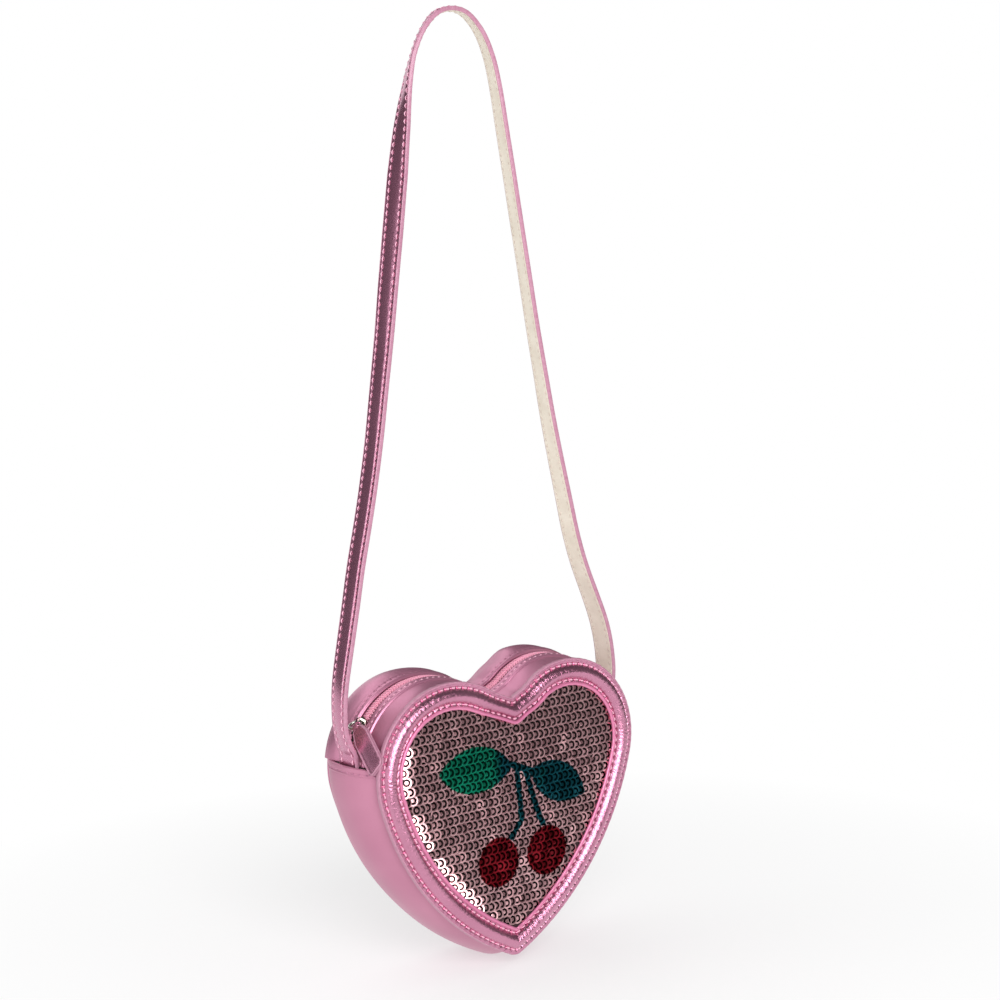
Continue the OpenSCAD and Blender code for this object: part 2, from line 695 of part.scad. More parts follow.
strap_leather();
strap_lining();
strap_tail_left();
strap_tail_right();
front_frame();
sequin_backing();
rose_sequins();
leaf_sequins();
cherry_sequins();
front_board();
front_lining();
back_panel();
back_board();
back_lining();
bottom_gusset();
gusset_lining();
zip_band_front();
zip_band_back();
zip_tape_front();
zip_tape_back();
zip_coil_front();
zip_coil_back();
zip_stops();
slider_body();
slider_bridge();
pull_ring();
pull_tab();
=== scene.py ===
"""Looks of a heart shaped purse on a shoulder strap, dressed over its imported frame.

The bag is drawn as a flat pattern in millimetres: x across, y up from the level of the
lobes' centres, z towards the sequin front. world() stands that pattern up in metres.
"""
from __future__ import annotations

import json
import logging
import math
from dataclasses import dataclass
from enum import Enum

import bpy
import numpy as np
from mathutils import Matrix

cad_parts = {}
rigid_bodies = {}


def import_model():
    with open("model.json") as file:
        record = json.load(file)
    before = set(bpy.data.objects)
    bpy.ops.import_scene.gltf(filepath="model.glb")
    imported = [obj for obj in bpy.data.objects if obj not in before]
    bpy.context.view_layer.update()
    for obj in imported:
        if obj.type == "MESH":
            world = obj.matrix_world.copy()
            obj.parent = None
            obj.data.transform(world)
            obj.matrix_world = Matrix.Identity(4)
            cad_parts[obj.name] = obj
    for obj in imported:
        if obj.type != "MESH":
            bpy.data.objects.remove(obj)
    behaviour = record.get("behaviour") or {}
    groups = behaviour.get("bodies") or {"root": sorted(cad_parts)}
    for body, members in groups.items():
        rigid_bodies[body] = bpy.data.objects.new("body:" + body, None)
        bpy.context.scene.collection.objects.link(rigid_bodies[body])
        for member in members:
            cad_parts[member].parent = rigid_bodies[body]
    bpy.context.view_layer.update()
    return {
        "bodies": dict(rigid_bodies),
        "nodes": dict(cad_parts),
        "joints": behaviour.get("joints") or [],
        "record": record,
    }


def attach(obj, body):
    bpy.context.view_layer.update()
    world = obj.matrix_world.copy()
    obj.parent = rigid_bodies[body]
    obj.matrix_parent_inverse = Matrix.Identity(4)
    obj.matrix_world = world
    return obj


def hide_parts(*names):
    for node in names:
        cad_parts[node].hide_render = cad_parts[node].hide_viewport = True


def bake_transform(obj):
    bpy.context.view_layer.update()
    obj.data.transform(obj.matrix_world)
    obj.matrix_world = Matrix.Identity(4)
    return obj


LOG = logging.getLogger("purse")
Array = np.ndarray
MM = 0.001
DROP = 340.0
HALF_W, LOBE_R, POINT_Y = 75.0, 40.5, 95.0
TAU = 2 * math.pi


# ---------------------------------------------------------------- shared geometry

def world(x: Array, y: Array, z: Array) -> Array:
    """Stands the flat pattern up: x stays, y becomes height below the crest, z faces front.

    Args:
        x: distances across, in mm.
        y: heights above the lobes' centres, in mm.
        z: distances towards the front, in mm.
    Returns:
        points in metres, with one more axis of three.
    """
    x, y, z = np.broadcast_arrays(x, y, z)
    return np.stack([x, -z, y - DROP], axis=-1) * MM


def unit(v: Array) -> Array:
    """Vectors along the last axis, brought to length one."""
    return v / np.maximum(np.linalg.norm(v, axis=-1, keepdims=True), 1e-12)


def smooth(t: Array) -> Array:
    """An even ease from 0 to 1: three squares less two cubes of t, held at both ends."""
    t = np.clip(t, 0, 1)
    return t * t * (3 - 2 * t)


def bell(t: Array, width: float) -> Array:
    """A bell curve of t, one at its middle."""
    return np.exp(-(t / width) ** 2)


def polar(c: Array, r: Array, deg: Array) -> tuple[Array, Array]:
    """The point at radius r and angle deg about c, as x and y."""
    a = np.radians(deg)
    return c[0] + r * np.cos(a), c[1] + r * np.sin(a)


def heading(x: float, y: float) -> float:
    """Angle of the way (x, y), in degrees."""
    return math.degrees(math.atan2(y, x))


class HeartLine:
    """The seam's line round the heart, made of four arcs on each side.

    A place on it is a signed length s from the notch, positive on the right, and a depth d
    inwards from the seam. The notch, the lobe, the long side and the point follow in turn.
    """

    def __init__(self) -> None:
        """Works out the arcs' centres and angles from the heart's sizes."""
        self.lobe_r, self.side_r, self.cleft_r, self.tip_r, self.fold = LOBE_R, 130.0, 12.0, 7.1, 1.2
        self.lean, self.lean_reach, self.lean_in, self.lean_in_reach = 2.2, 22.0, 0.13, 9.0
        self.vee_round, self.vee_slope, self.vee_reach, self.vee_deep = 0.7, 0.41, 5.8, 12
        self.lobe = np.array([HALF_W - self.lobe_r, 0.0])
        self.cleft = np.array([0, math.sqrt((self.lobe_r + self.cleft_r) ** 2 - self.lobe[0] ** 2)])
        tip = np.array([0, self.tip_r - POINT_Y])
        way = tip - self.lobe
        far = float(np.hypot(*way))
        lobe_reach, tip_reach = self.side_r - self.lobe_r, self.side_r - self.tip_r
        along = (lobe_reach ** 2 - tip_reach ** 2 + far ** 2) / (2 * far)
        across = math.sqrt(lobe_reach ** 2 - along ** 2)
        way = way / far
        self.side = self.lobe + along * way - across * np.array([-way[1], way[0]])
        self.cleft_to = heading(*(self.lobe - self.cleft))
        self.lobe_high = heading(*(self.cleft - self.lobe))
        self.lobe_low = heading(*(self.lobe - self.side))
        low = heading(*(tip - self.side))
        self.spans = np.radians([
            (self.cleft_to + 90), (self.lobe_high - self.lobe_low),
            (self.lobe_low - low), (low + 90)])
        lengths = self.spans * [self.cleft_r, self.lobe_r, self.side_r, self.tip_r]
        self.marks = np.concatenate([[0], np.cumsum(lengths)])
        self.half = float(self.marks[-1])

    def at_lobe(self, deg: float) -> float:
        """Length from the notch to the place on the right lobe at that angle."""
        return float(self.marks[1] + math.radians(self.lobe_high - deg) * self.lobe_r)

    def flat(self, s: Array, d: Array) -> tuple[Array, Array]:
        """Points of the pattern at lengths s and depths d.

        Each arc turns by its own share of the way, and its radius shrinks by d, or grows
        by it at the notch. At the point the inner line keeps a small round. The notch
        leans to the right by a bell of s. Its sides rise by a slope times a bell, which
        makes a V that is deeper the further in the line lies.

        Args:
            s: signed lengths from the notch, in mm, of shape (m, 1) or (m, n).
            d: depths inwards, in mm, that broadcast with s.
        Returns:
            x and y arrays of the common shape.
        """
        s, d = np.broadcast_arrays(np.asarray(s, float), np.asarray(d, float))
        s = s - 2 * self.half * np.sign(s) * (np.abs(s) > self.half)
        way, a = np.where(s < 0, -1.0, 1.0), np.minimum(np.abs(s), self.half)
        k = np.clip(np.searchsorted(self.marks, a, side="right") - 1, 0, 3)
        f = (a - self.marks[k]) / (self.marks[k + 1] - self.marks[k])
        tip_r = np.maximum(self.tip_r - d, self.fold)
        tip_y = self.side[1] - np.sqrt((self.side_r - d - tip_r) ** 2 - self.side[0] ** 2)
        low = np.degrees(np.arctan2(tip_y - self.side[1], -self.side[0]))
        zero = np.zeros_like(d)
        stretches = [
            (self.cleft, self.cleft_r + d, -90 + (self.cleft_to + 90) * f),
            (self.lobe, self.lobe_r - d, self.lobe_high + (self.lobe_low - self.lobe_high) * f),
            (self.side, self.side_r - d, self.lobe_low + (low - self.lobe_low) * f),
            ((zero, tip_y), tip_r, low + (-90 - low) * f)]
        xy = [polar(*piece) for piece in stretches]
        x = np.choose(k, [p[0] for p in xy])
        y = np.choose(k, [p[1] for p in xy])
        near = np.hypot(s, self.vee_round) - self.vee_round
        vee = self.vee_slope * near * bell(near, self.vee_reach)
        x = way * x + self.lean * bell(s, self.lean_reach) + self.lean_in * d * bell(s, self.lean_in_reach)
        return x, y + (1 + d / self.vee_deep) * vee

    def sweep(self, s: Array, d: Array, z: Array) -> Array:
        """World points of a section of depths d and heights z carried to each length s.

        Args:
            s: lengths, of shape (m,).
            d: depths, of shape (n,) or (m, n).
            z: heights, of shape (n,) or (m, n).
        Returns:
            points of shape (m, n, 3), in metres.
        """
        x, y = self.flat(s[:, None], d)
        return world(x, y, z)

    def run(self, start: float, end: float, d: float) -> tuple[Array, Array]:
        """Fine lengths between start and end, and how far the line at depth d runs to each."""
        s = np.linspace(start, end, 3000)
        x, y = self.flat(s, d)
        return s, np.concatenate([[0], np.cumsum(np.hypot(np.diff(x), np.diff(y)))])

    def even(self, start: float, end: float, d: float, step: float) -> Array:
        """Lengths between start and end that lie evenly, step apart, on the line at depth d."""
        s, run = self.run(start, end, d)
        count = max(2, round(run[-1] / step))
        return np.interp((np.arange(count) + 0.5) / count * run[-1], run, s)

    def inside(self, x: Array, y: Array) -> Array:
        """Depth inwards of points of the pattern, by the nearest place of the seam's line."""
        s = np.linspace(-self.half, self.half, 1400)
        lx, ly = self.flat(s, 0.0)
        gap = np.hypot(x[:, None] - lx, y[:, None] - ly)
        near = gap.argmin(1)
        ix, iy = self.flat(s[near], 1.0)
        side = (x - lx[near]) * (ix - lx[near]) + (y - ly[near]) * (iy - ly[near])
        return gap.min(1) * np.sign(side)


HEART = HeartLine()


def make_mesh(name: str, points: Array, faces: list, smooth_faces: bool = True) -> bpy.types.Object:
    """Puts points and faces into a new mesh object whose faces look outwards.

    The signed volume, a sixth of the sum over triangles of a . (b x c), tells whether the
    faces of a closed form look outwards, and all of them turn round where it is negative.

    Args:
        name: name of the piece.
        points: vertices, of shape (n, 3), in metres.
        faces: lists of vertex numbers, or an array of them.
        smooth_faces: whether the faces are shaded smooth.
    Returns:
        the linked object.
    """
    faces = faces.tolist() if isinstance(faces, np.ndarray) else faces
    tri = np.array([[f[0], f[i], f[i + 1]] for f in faces for i in range(1, len(f) - 1)])
    mid = points.mean(0)
    a, b, c = (points[tri[:, i]] - mid for i in range(3))
    if np.einsum("ij,ij->i", a, np.cross(b, c)).sum() < 0:
        faces = [f[::-1] for f in faces]
    mesh = bpy.data.meshes.new(name)
    mesh.from_pydata(points.tolist(), [], faces)
    mesh.polygons.foreach_set("use_smooth", [smooth_faces] * len(mesh.polygons))
    mesh.update()
    obj = bpy.data.objects.new(name, mesh)
    bpy.context.scene.collection.objects.link(obj)
    return obj


def loft_faces(m: int, n: int, closed: bool) -> list:
    """Faces of a loft of m rings with n points each; its ends are capped unless it closes."""
    i = np.arange(m if closed else m - 1)[:, None]
    k = np.arange(n)[None, :]
    a, b = i * n, (i + 1) % m * n
    quads = np.stack([a + k, b + k, b + (k + 1) % n, a + (k + 1) % n], -1).reshape(-1, 4).tolist()
    if not closed:
        quads += [list(range(n)), list(range((m - 1) * n, m * n))[::-1]]
    return quads


def loft(name: str, rings: Array, closed: bool = False) -> bpy.types.Object:
    """A solid skin over rings of points, of shape (m, n, 3), each ring a closed section."""
    m, n = rings.shape[:2]
    return make_mesh(name, rings.reshape(-1, 3), loft_faces(m, n, closed))


def mark(obj: bpy.types.Object, **values: Array) -> bpy.types.Object:
    """Stores a number for each vertex of a piece under each name, for its material."""
    for name, value in values.items():
        layer = obj.data.attributes.new(name, "FLOAT", "POINT")
        layer.data.foreach_set("value", np.ravel(value).astype(np.float32))
    return obj


def many(name: str, shape: Array, faces: list, spots: Array, axes: Array) -> bpy.types.Object:
    """One mesh that holds the same small form at many places.

    Args:
        name: name of the piece.
        shape: the form's points, of shape (p, 3), in metres.
        faces: its faces.
        spots: places, of shape (k, 3).
        axes: the form's three axes at each place, of shape (k, 3, 3), an axis a row.
    Returns:
        the linked object.
    """
    points = spots[:, None] + np.einsum("pa,kab->kpb", shape, axes)
    step = np.arange(len(spots)) * len(shape)
    all_faces = [[v + int(o) for v in f] for o in step for f in faces]
    return make_mesh(name, points.reshape(-1, 3), all_faces)


def stitch_form(length: float, radius: float) -> tuple[Array, list]:
    """One stitch: a short round thread that rises in the middle and dives at its ends.

    Its middle line is a parabola, and its radius falls off as the root of 1 - t squared.

    Args:
        length: from hole to hole, in metres.
        radius: of the thread, in metres.
    Returns:
        points and faces, with x along the stitch and z out of the leather.
    """
    t = np.array([-1, -0.8, -0.4, 0, 0.4, 0.8, 1])[:, None]
    a = np.linspace(0, TAU, 6, endpoint=False)[None, :]
    r = radius * np.sqrt(1 - 0.85 * t ** 2)
    x = t * length / 2 + 0 * a
    y = r * np.cos(a) * 1.15
    z = r * np.sin(a) + radius * (0.7 - 1.7 * t ** 2)
    return np.stack([x, y, z], -1).reshape(-1, 3), loft_faces(7, 6, False)


def stitches(name: str, spots: Array, along: Array, out: Array, length: float = 2.1,
             radius: float = 0.24) -> bpy.types.Object:
    """A row of stitches at spots, laid along and standing out, with sizes in mm."""
    shape, faces = stitch_form(length * MM, radius * MM)
    x = unit(along)
    z = unit(out - (out * x).sum(-1, keepdims=True) * x)
    axes = np.stack([x, np.cross(z, x), z], 1)
    return many(name, shape, faces, spots, axes)


# ---------------------------------------------------------------- finishes

class Expr:
    """A value in a material's node tree, written in plain arithmetic."""

    def __init__(self, tree: "Shader", socket: bpy.types.NodeSocket) -> None:
        """Wraps one output socket of the tree."""
        self.tree, self.socket = tree, socket

    def _do(self, operation: str, *others: "Expr | float") -> "Expr":
        """Adds one Math node on this value and the others."""
        return self.tree.node("ShaderNodeMath", {"operation": operation}, {
            i: v for i, v in enumerate((self, *others))})

    def __add__(self, o: "Expr | float") -> "Expr":
        """Sum."""
        return self._do("ADD", o)

    def __radd__(self, o: float) -> "Expr":
        """Sum, from the right."""
        return self._do("ADD", o)

    def __sub__(self, o: "Expr | float") -> "Expr":
        """Difference."""
        return self._do("SUBTRACT", o)

    def __rsub__(self, o: float) -> "Expr":
        """Difference from a number."""
        return self.tree.node("ShaderNodeMath", {"operation": "SUBTRACT"}, {0: o, 1: self})

    def __mul__(self, o: "Expr | float") -> "Expr":
        """Product."""
        return self._do("MULTIPLY", o)

    def __rmul__(self, o: float) -> "Expr":
        """Product, from the right."""
        return self._do("MULTIPLY", o)

    def ramp(self, low: float, high: float, to_low: float = 0.0, to_high: float = 1.0) -> "Expr":
        """Maps low..high to to_low..to_high, held at both ends."""
        return self.tree.node("ShaderNodeMapRange", {"clamp": True}, {
            "Value": self, "From Min": low, "From Max": high,
            "To Min": to_low, "To Max": to_high})

    def sine(self) -> "Expr":
        """Sine."""
        return self._do("SINE")


class Shader:
    """A material's node tree with one main shader, built by small calls."""

    def __init__(self, name: str) -> None:
        """Makes an empty material with the main shader joined to its output."""
        self.material = bpy.data.materials.new(name)
        self.material.use_nodes = True
        self.nodes = self.material.node_tree.nodes
        self.links = self.material.node_tree.links
        self.main = next(n for n in self.nodes if n.type == "BSDF_PRINCIPLED")

    def node(self, kind: str, settings: dict, inputs: dict, output: int | str = 0) -> Expr:
        """Adds a node, applies its settings first, and then its sockets' values or links.

        Args:
            kind: the node's type.
            settings: its own settings.
            inputs: values or expressions for its sockets, by name or number.
            output: the output that the result reads.
        Returns:
            that output, wrapped.
        """
        node = self.nodes.new(kind)
        for key, value in settings.items():
            setattr(node, key, value)
        for key, value in inputs.items():
            self.feed(node.inputs[key], value)
        return Expr(self, node.outputs[output])

    def feed(self, socket: bpy.types.NodeSocket, value: object) -> None:
        """Sets a socket's own value, or links an expression to it."""
        if isinstance(value, Expr):
            self.links.new(value.socket, socket)
        else:
            socket.default_value = value

    def place(self) -> Expr:
        """Object coordinates, in metres."""
        return self.node("ShaderNodeTexCoord", {}, {}, "Object")

    def noise(self, size: float, detail: float = 3.0, rough: float = 0.55, warp: float = 0.0,
              where: Expr | None = None) -> Expr:
        """Soft noise whose features are about size mm across."""
        return self.node("ShaderNodeTexNoise", {}, {
            "Vector": where or self.place(), "Scale": 1 / (size * MM), "Detail": detail,
            "Roughness": rough, "Distortion": warp}, 0)

    def cells(self, size: float, spread: float = 0.9, where: Expr | None = None) -> Expr:
        """Distance to the nearest cell's middle, with cells about size mm across."""
        return self.node("ShaderNodeTexVoronoi", {"feature": "SMOOTH_F1"}, {
            "Vector": where or self.place(), "Scale": 1 / (size * MM), "Randomness": spread,
            "Smoothness": 0.6}, "Distance")

    def streaks(self, run: float, deep: float) -> Expr:
        """Noise drawn out across a seam, run mm wide along it and deep mm long across it."""
        where = self.node("ShaderNodeCombineXYZ", {}, {
            0: self.attribute("run") * (1 / run), 1: self.attribute("deep") * (1 / deep)})
        return self.node("ShaderNodeTexNoise", {}, {
            "Vector": where, "Scale": 1.0, "Detail": 4.0, "Roughness": 0.7, "Distortion": 0.4}, 0)

    def attribute(self, name: str) -> Expr:
        """A number stored on the mesh."""
        return self.node("ShaderNodeAttribute", {"attribute_name": name}, {}, "Fac")

    def tint(self, mask: Expr, low: tuple, high: tuple) -> Expr:
        """A colour between low and high by mask."""
        return self.node("ShaderNodeMix", {"data_type": "RGBA"}, {
            0: mask, 6: (*low, 1.0), 7: (*high, 1.0)}, 2)

    def blend(self, mask: Expr, low: Expr, high: Expr) -> Expr:
        """One of two colours that are expressions themselves, by mask."""
        return self.node("ShaderNodeMix", {"data_type": "RGBA"}, {0: mask, 6: low, 7: high}, 2)

    def bump(self, height: Expr, depth: float, strength: float = 1.0) -> None:
        """Raises the surface by height times depth, in mm."""
        normal = self.node("ShaderNodeBump", {}, {
            "Height": height, "Distance": depth * MM, "Strength": strength})
        self.feed(self.main.inputs["Normal"], normal)

    def set(self, **values: object) -> None:
        """Sets the main shader's sockets; an underscore in a name stands for a space."""
        for key, value in values.items():
            if isinstance(value, tuple):
                value = (*value, 1.0)
            self.feed(self.main.inputs[key.replace("_", " ")], value)


class Finish:
    """A finish that makes its own material once."""

    slot: str = ""

    def paint(self, tree: Shader) -> None:
        """Fills in the tree; each finish has its own."""
        raise NotImplementedError

    def material(self) -> bpy.types.Material:
        """The finish's material, made at the first call."""
        key = f"{type(self).__name__}_{self!r}"
        if key not in _MATERIALS:
            tree = Shader(self.slot + "_" + type(self).__name__.lower())
            self.paint(tree)
            _MATERIALS[key] = tree.material
        return _MATERIALS[key]


_MATERIALS: dict[str, bpy.types.Material] = {}


@dataclass(frozen=True)
class FoilLeather(Finish):
    """Pink leather under a thin metal foil, with a fine pebbled grain."""

    slot: str = "metallic_leather"
    light: tuple = (0.63, 0.27, 0.40)
    dark: tuple = (0.54, 0.215, 0.33)
    grain: float = 1.1
    depth: float = 0.03
    rough: float = 0.36
    metal: float = 0.78
    crinkle: float = 0.0

    def paint(self, tree: Shader) -> None:
        """Grain from cells and noise, colour from broad noise, gloss from fine noise."""
        broad = tree.noise(34, 2)
        fine = tree.noise(self.grain * 0.35, 3, 0.6)
        cells = tree.cells(self.grain)
        creases = tree.noise(self.grain * 3.2, 4, 0.62, 0.8)
        tree.set(
            Base_Color=tree.tint((broad * 0.7 + fine * 0.3).ramp(0.35, 0.65), self.dark, self.light),
            Roughness=fine.ramp(0.3, 0.7, self.rough - 0.05, self.rough + 0.07),
            Metallic=self.metal, Coat_Weight=0.12, Coat_Roughness=0.25)
        height = cells * 0.55 + creases * 0.5 + fine * 0.25
        if self.crinkle:
            height = height + (tree.streaks(0.75, 3.2) + tree.streaks(2.2, 2.6) * 1.4) * self.crinkle
        tree.bump(height, self.depth)


@dataclass(frozen=True)
class EdgePaint(Finish):
    """Pink paint that seals a cut leather edge."""

    slot: str = "metallic_leather"
    light: tuple = (0.47, 0.225, 0.315)
    dark: tuple = (0.39, 0.16, 0.24)

    def paint(self, tree: Shader) -> None:
        """A thick, slightly uneven glaze."""
        lumps = tree.noise(1.4, 3)
        tree.set(Base_Color=tree.tint(lumps.ramp(0.3, 0.7), self.dark, self.light),
                 Roughness=lumps.ramp(0.3, 0.7, 0.36, 0.52), Coat_Weight=0.2)
        tree.bump(lumps, 0.08)


@dataclass(frozen=True)
class Suede(Finish):
    """Cream suede on the strap's inner face."""

    slot: str = "strap_lining"
    light: tuple = (0.80, 0.73, 0.62)
    dark: tuple = (0.66, 0.58, 0.47)

    def paint(self, tree: Shader) -> None:
        """Short nap: fine noise over broad clouds."""
        nap = tree.noise(0.35, 4, 0.7)
        clouds = tree.noise(9, 3)
        tree.set(Base_Color=tree.tint((nap * 0.5 + clouds * 0.5).ramp(0.34, 0.66), self.dark, self.light),
                 Roughness=0.92, Sheen_Weight=0.35, Sheen_Roughness=0.5, Specular_IOR_Level=0.2)
        tree.bump(nap * 0.8 + clouds * 0.4, 0.09)


@dataclass(frozen=True)
class Thread(Finish):
    """Twisted sewing thread."""

    slot: str = "metallic_leather"
    light: tuple = (0.86, 0.50, 0.62)
    dark: tuple = (0.62, 0.28, 0.40)

    def paint(self, tree: Shader) -> None:
        """Two tones of one pink, lighter where the twist rises."""
        twist = tree.noise(0.3, 2)
        tree.set(Base_Color=tree.tint(twist.ramp(0.35, 0.65), self.dark, self.light),
                 Roughness=0.55, Sheen_Weight=0.2)
        tree.bump(twist, 0.05)


@dataclass(frozen=True)
class SequinFilm(Finish):
    """Mirror film on flat discs, with leaves and cherries printed across them in place."""

    slot: str = "rose_sequin"
    light: tuple = (0.95, 0.58, 0.61)
    dark: tuple = (0.74, 0.40, 0.43)
    rough: float = 0.2
    leaf: tuple = ((0.006, 0.10, 0.13), (0.01, 0.37, 0.21))
    cherry: tuple = ((0.14, 0.003, 0.008), (0.36, 0.011, 0.024))

    def paint(self, tree: Shader) -> None:
        """Ground by the disc's own shade with a painted highlight near its rim, then green by one mask with
        painted light towards the left, and red by the other with a painted highlight near its rim.
        """
        shade = tree.attribute("shade")
        rim = tree.attribute("rim")
        # Painted highlight: rim lightens the ground's and the cherries' colour near each disc's edge. Painted
        # light: lit makes the leaves' green lighter towards the left.
        ground = tree.tint((shade * 0.8 + rim * 0.35).ramp(0.0, 1.0), self.dark, self.light)
        leaf = tree.tint((tree.attribute("lit") * 0.85 + shade * 0.3).ramp(0.2, 0.95), *self.leaf)
        cherry = tree.tint((shade * 0.9 + rim * 0.4).ramp(0.1, 1.0), *self.cherry)
        colour = tree.blend(tree.attribute("green").ramp(0.3, 0.7), ground, leaf)
        colour = tree.blend(tree.attribute("red").ramp(0.3, 0.7), colour, cherry)
        tree.set(Base_Color=colour, Roughness=(rim * 0.08 + shade * 0.05 + self.rough), Metallic=0.96,
                 Coat_Weight=0.15, Coat_Roughness=0.1)
        tree.bump(tree.noise(1.6, 2), 0.03)


@dataclass(frozen=True)
class Nickel(Finish):
    """Bright plated metal of the zip's runner and ring."""

    slot: str = "silver_metal"
    light: tuple = (0.60, 0.58, 0.54)
    dark: tuple = (0.46, 0.44, 0.41)

    def paint(self, tree: Shader) -> None:
        """Fine polishing marks in the gloss."""
        marks = tree.noise(0.5, 4, 0.7)
        tree.set(Base_Color=tree.tint(marks.ramp(0.3, 0.7), self.dark, self.light),
                 Roughness=marks.ramp(0.3, 0.7, 0.16, 0.28), Metallic=1.0)
        tree.bump(marks, 0.01)


@dataclass(frozen=True)
class Nylon(Finish):
    """Dyed nylon of the zip's coils."""

    slot: str = "zip_coil"
    light: tuple = (0.95, 0.46, 0.60)
    dark: tuple = (0.80, 0.30, 0.44)

    def paint(self, tree: Shader) -> None:
        """Even plastic with a faint drift of tone."""
        drift = tree.noise(4, 2)
        tree.set(Base_Color=tree.tint(drift, self.dark, self.light), Roughness=0.38,
                 Coat_Weight=0.1)


@dataclass(frozen=True)
class Woven(Finish):
    """Woven cloth: crossing threads of one colour."""

    slot: str = "zip_tape"
    light: tuple = (0.60, 0.22, 0.34)
    dark: tuple = (0.42, 0.13, 0.22)
    pitch: float = 0.5

    def paint(self, tree: Shader) -> None:
        """Warp and weft as crossed sines of the object's own place."""
        parts = tree.nodes.new("ShaderNodeSeparateXYZ")
        tree.feed(parts.inputs[0], tree.place())
        x, y, z = (Expr(tree, parts.outputs[i]) for i in range(3))
        turn = TAU / (self.pitch * MM)
        weave = ((x + z) * turn).sine() * (y * turn).sine()
        fluff = tree.noise(0.4, 3)
        mask = (weave * 0.35 + fluff * 0.4 + 0.3).ramp(0, 1)
        tree.set(Base_Color=tree.tint(mask, self.dark, self.light), Roughness=0.88,
                 Sheen_Weight=0.2)
        tree.bump(mask, 0.12)


@dataclass(frozen=True)
class Board(Finish):
    """Grey-brown stiffening board."""

    slot: str = "stiffening_board"
    light: tuple = (0.50, 0.42, 0.32)
    dark: tuple = (0.32, 0.25, 0.18)

    def paint(self, tree: Shader) -> None:
        """Pressed fibres."""
        fibres = tree.noise(0.9, 5, 0.7, 1.0)
        tree.set(Base_Color=tree.tint(fibres, self.dark, self.light), Roughness=0.9)
        tree.bump(fibres, 0.1)


def dress(obj: bpy.types.Object, finish: Finish) -> bpy.types.Object:
    """Gives a piece one finish and names the record's slot that it comes from."""
    obj.data.materials.clear()
    obj.data.materials.append(finish.material())
    LOG.info("piece %s: %d faces, %s", obj.name, len(obj.data.polygons), finish.slot)
    return obj


def dress_node(obj: bpy.types.Object, finish: Finish) -> None:
    """Gives a carried-over node a new finish and leaves its mesh alone."""
    if not obj.material_slots:
        obj.data.materials.append(finish.material())
    for place in obj.material_slots:
        place.material = finish.material()
    LOG.info("node %s: %s", obj.name, finish.slot)


# ---------------------------------------------------------------- leather pieces

SEAM_Z = 21.0
LEATHER = 1.2
WALL_Z = SEAM_Z - LEATHER
FLANGE = 4.0
GUSSET_TOP = 6.0
GUSSET_TOP_S = HEART.at_lobe(math.degrees(math.asin(GUSSET_TOP / LOBE_R)))
ROUND = (-HEART.half, HEART.half)
LIGHT_THREAD = Thread()
DARK_THREAD = Thread(light=(0.50, 0.19, 0.31), dark=(0.26, 0.08, 0.15))


def phase(s: Array, d: float, start: float, end: float, pitch: float) -> Array:
    """Turns of a stitch row at lengths s: whole numbers at the holes between its stitches."""
    fine, run = HEART.run(start, end, d)
    count = max(2, round(run[-1] / pitch))
    return np.interp(s, fine, run) / run[-1] * count


def holes(turns: Array) -> Array:
    """How deep the leather dips towards each needle hole: a narrow peak at whole turns."""
    return np.clip(np.cos(TAU * turns), 0, 1) ** 3


def seam_row(name: str, span: tuple[float, float], d: float, z: float, pitch: float,
             finish: Finish, length: float = 2.1, radius: float = 0.36) -> bpy.types.Object:
    """A row of stitches along the seam's line on a face that looks to the front or the back.

    Args:
        name: name of the piece.
        span: first and last length.
        d: depth of the row.
        z: height of the row; its sign says which way the face looks.
        pitch: from hole to hole, in mm.
        finish: the thread.
        length: of one stitch, in mm.
        radius: of the thread, in mm.
    Returns:
        the piece.
    """
    s = HEART.even(*span, d, pitch)
    spots = world(*HEART.flat(s, d), z)
    along = world(*HEART.flat(s + 0.2, d), z) - world(*HEART.flat(s - 0.2, d), z)
    out = world(*HEART.flat(s, d), z + math.copysign(0.5, z)) - spots
    return dress(stitches(name, spots, along, out, length, radius), finish)


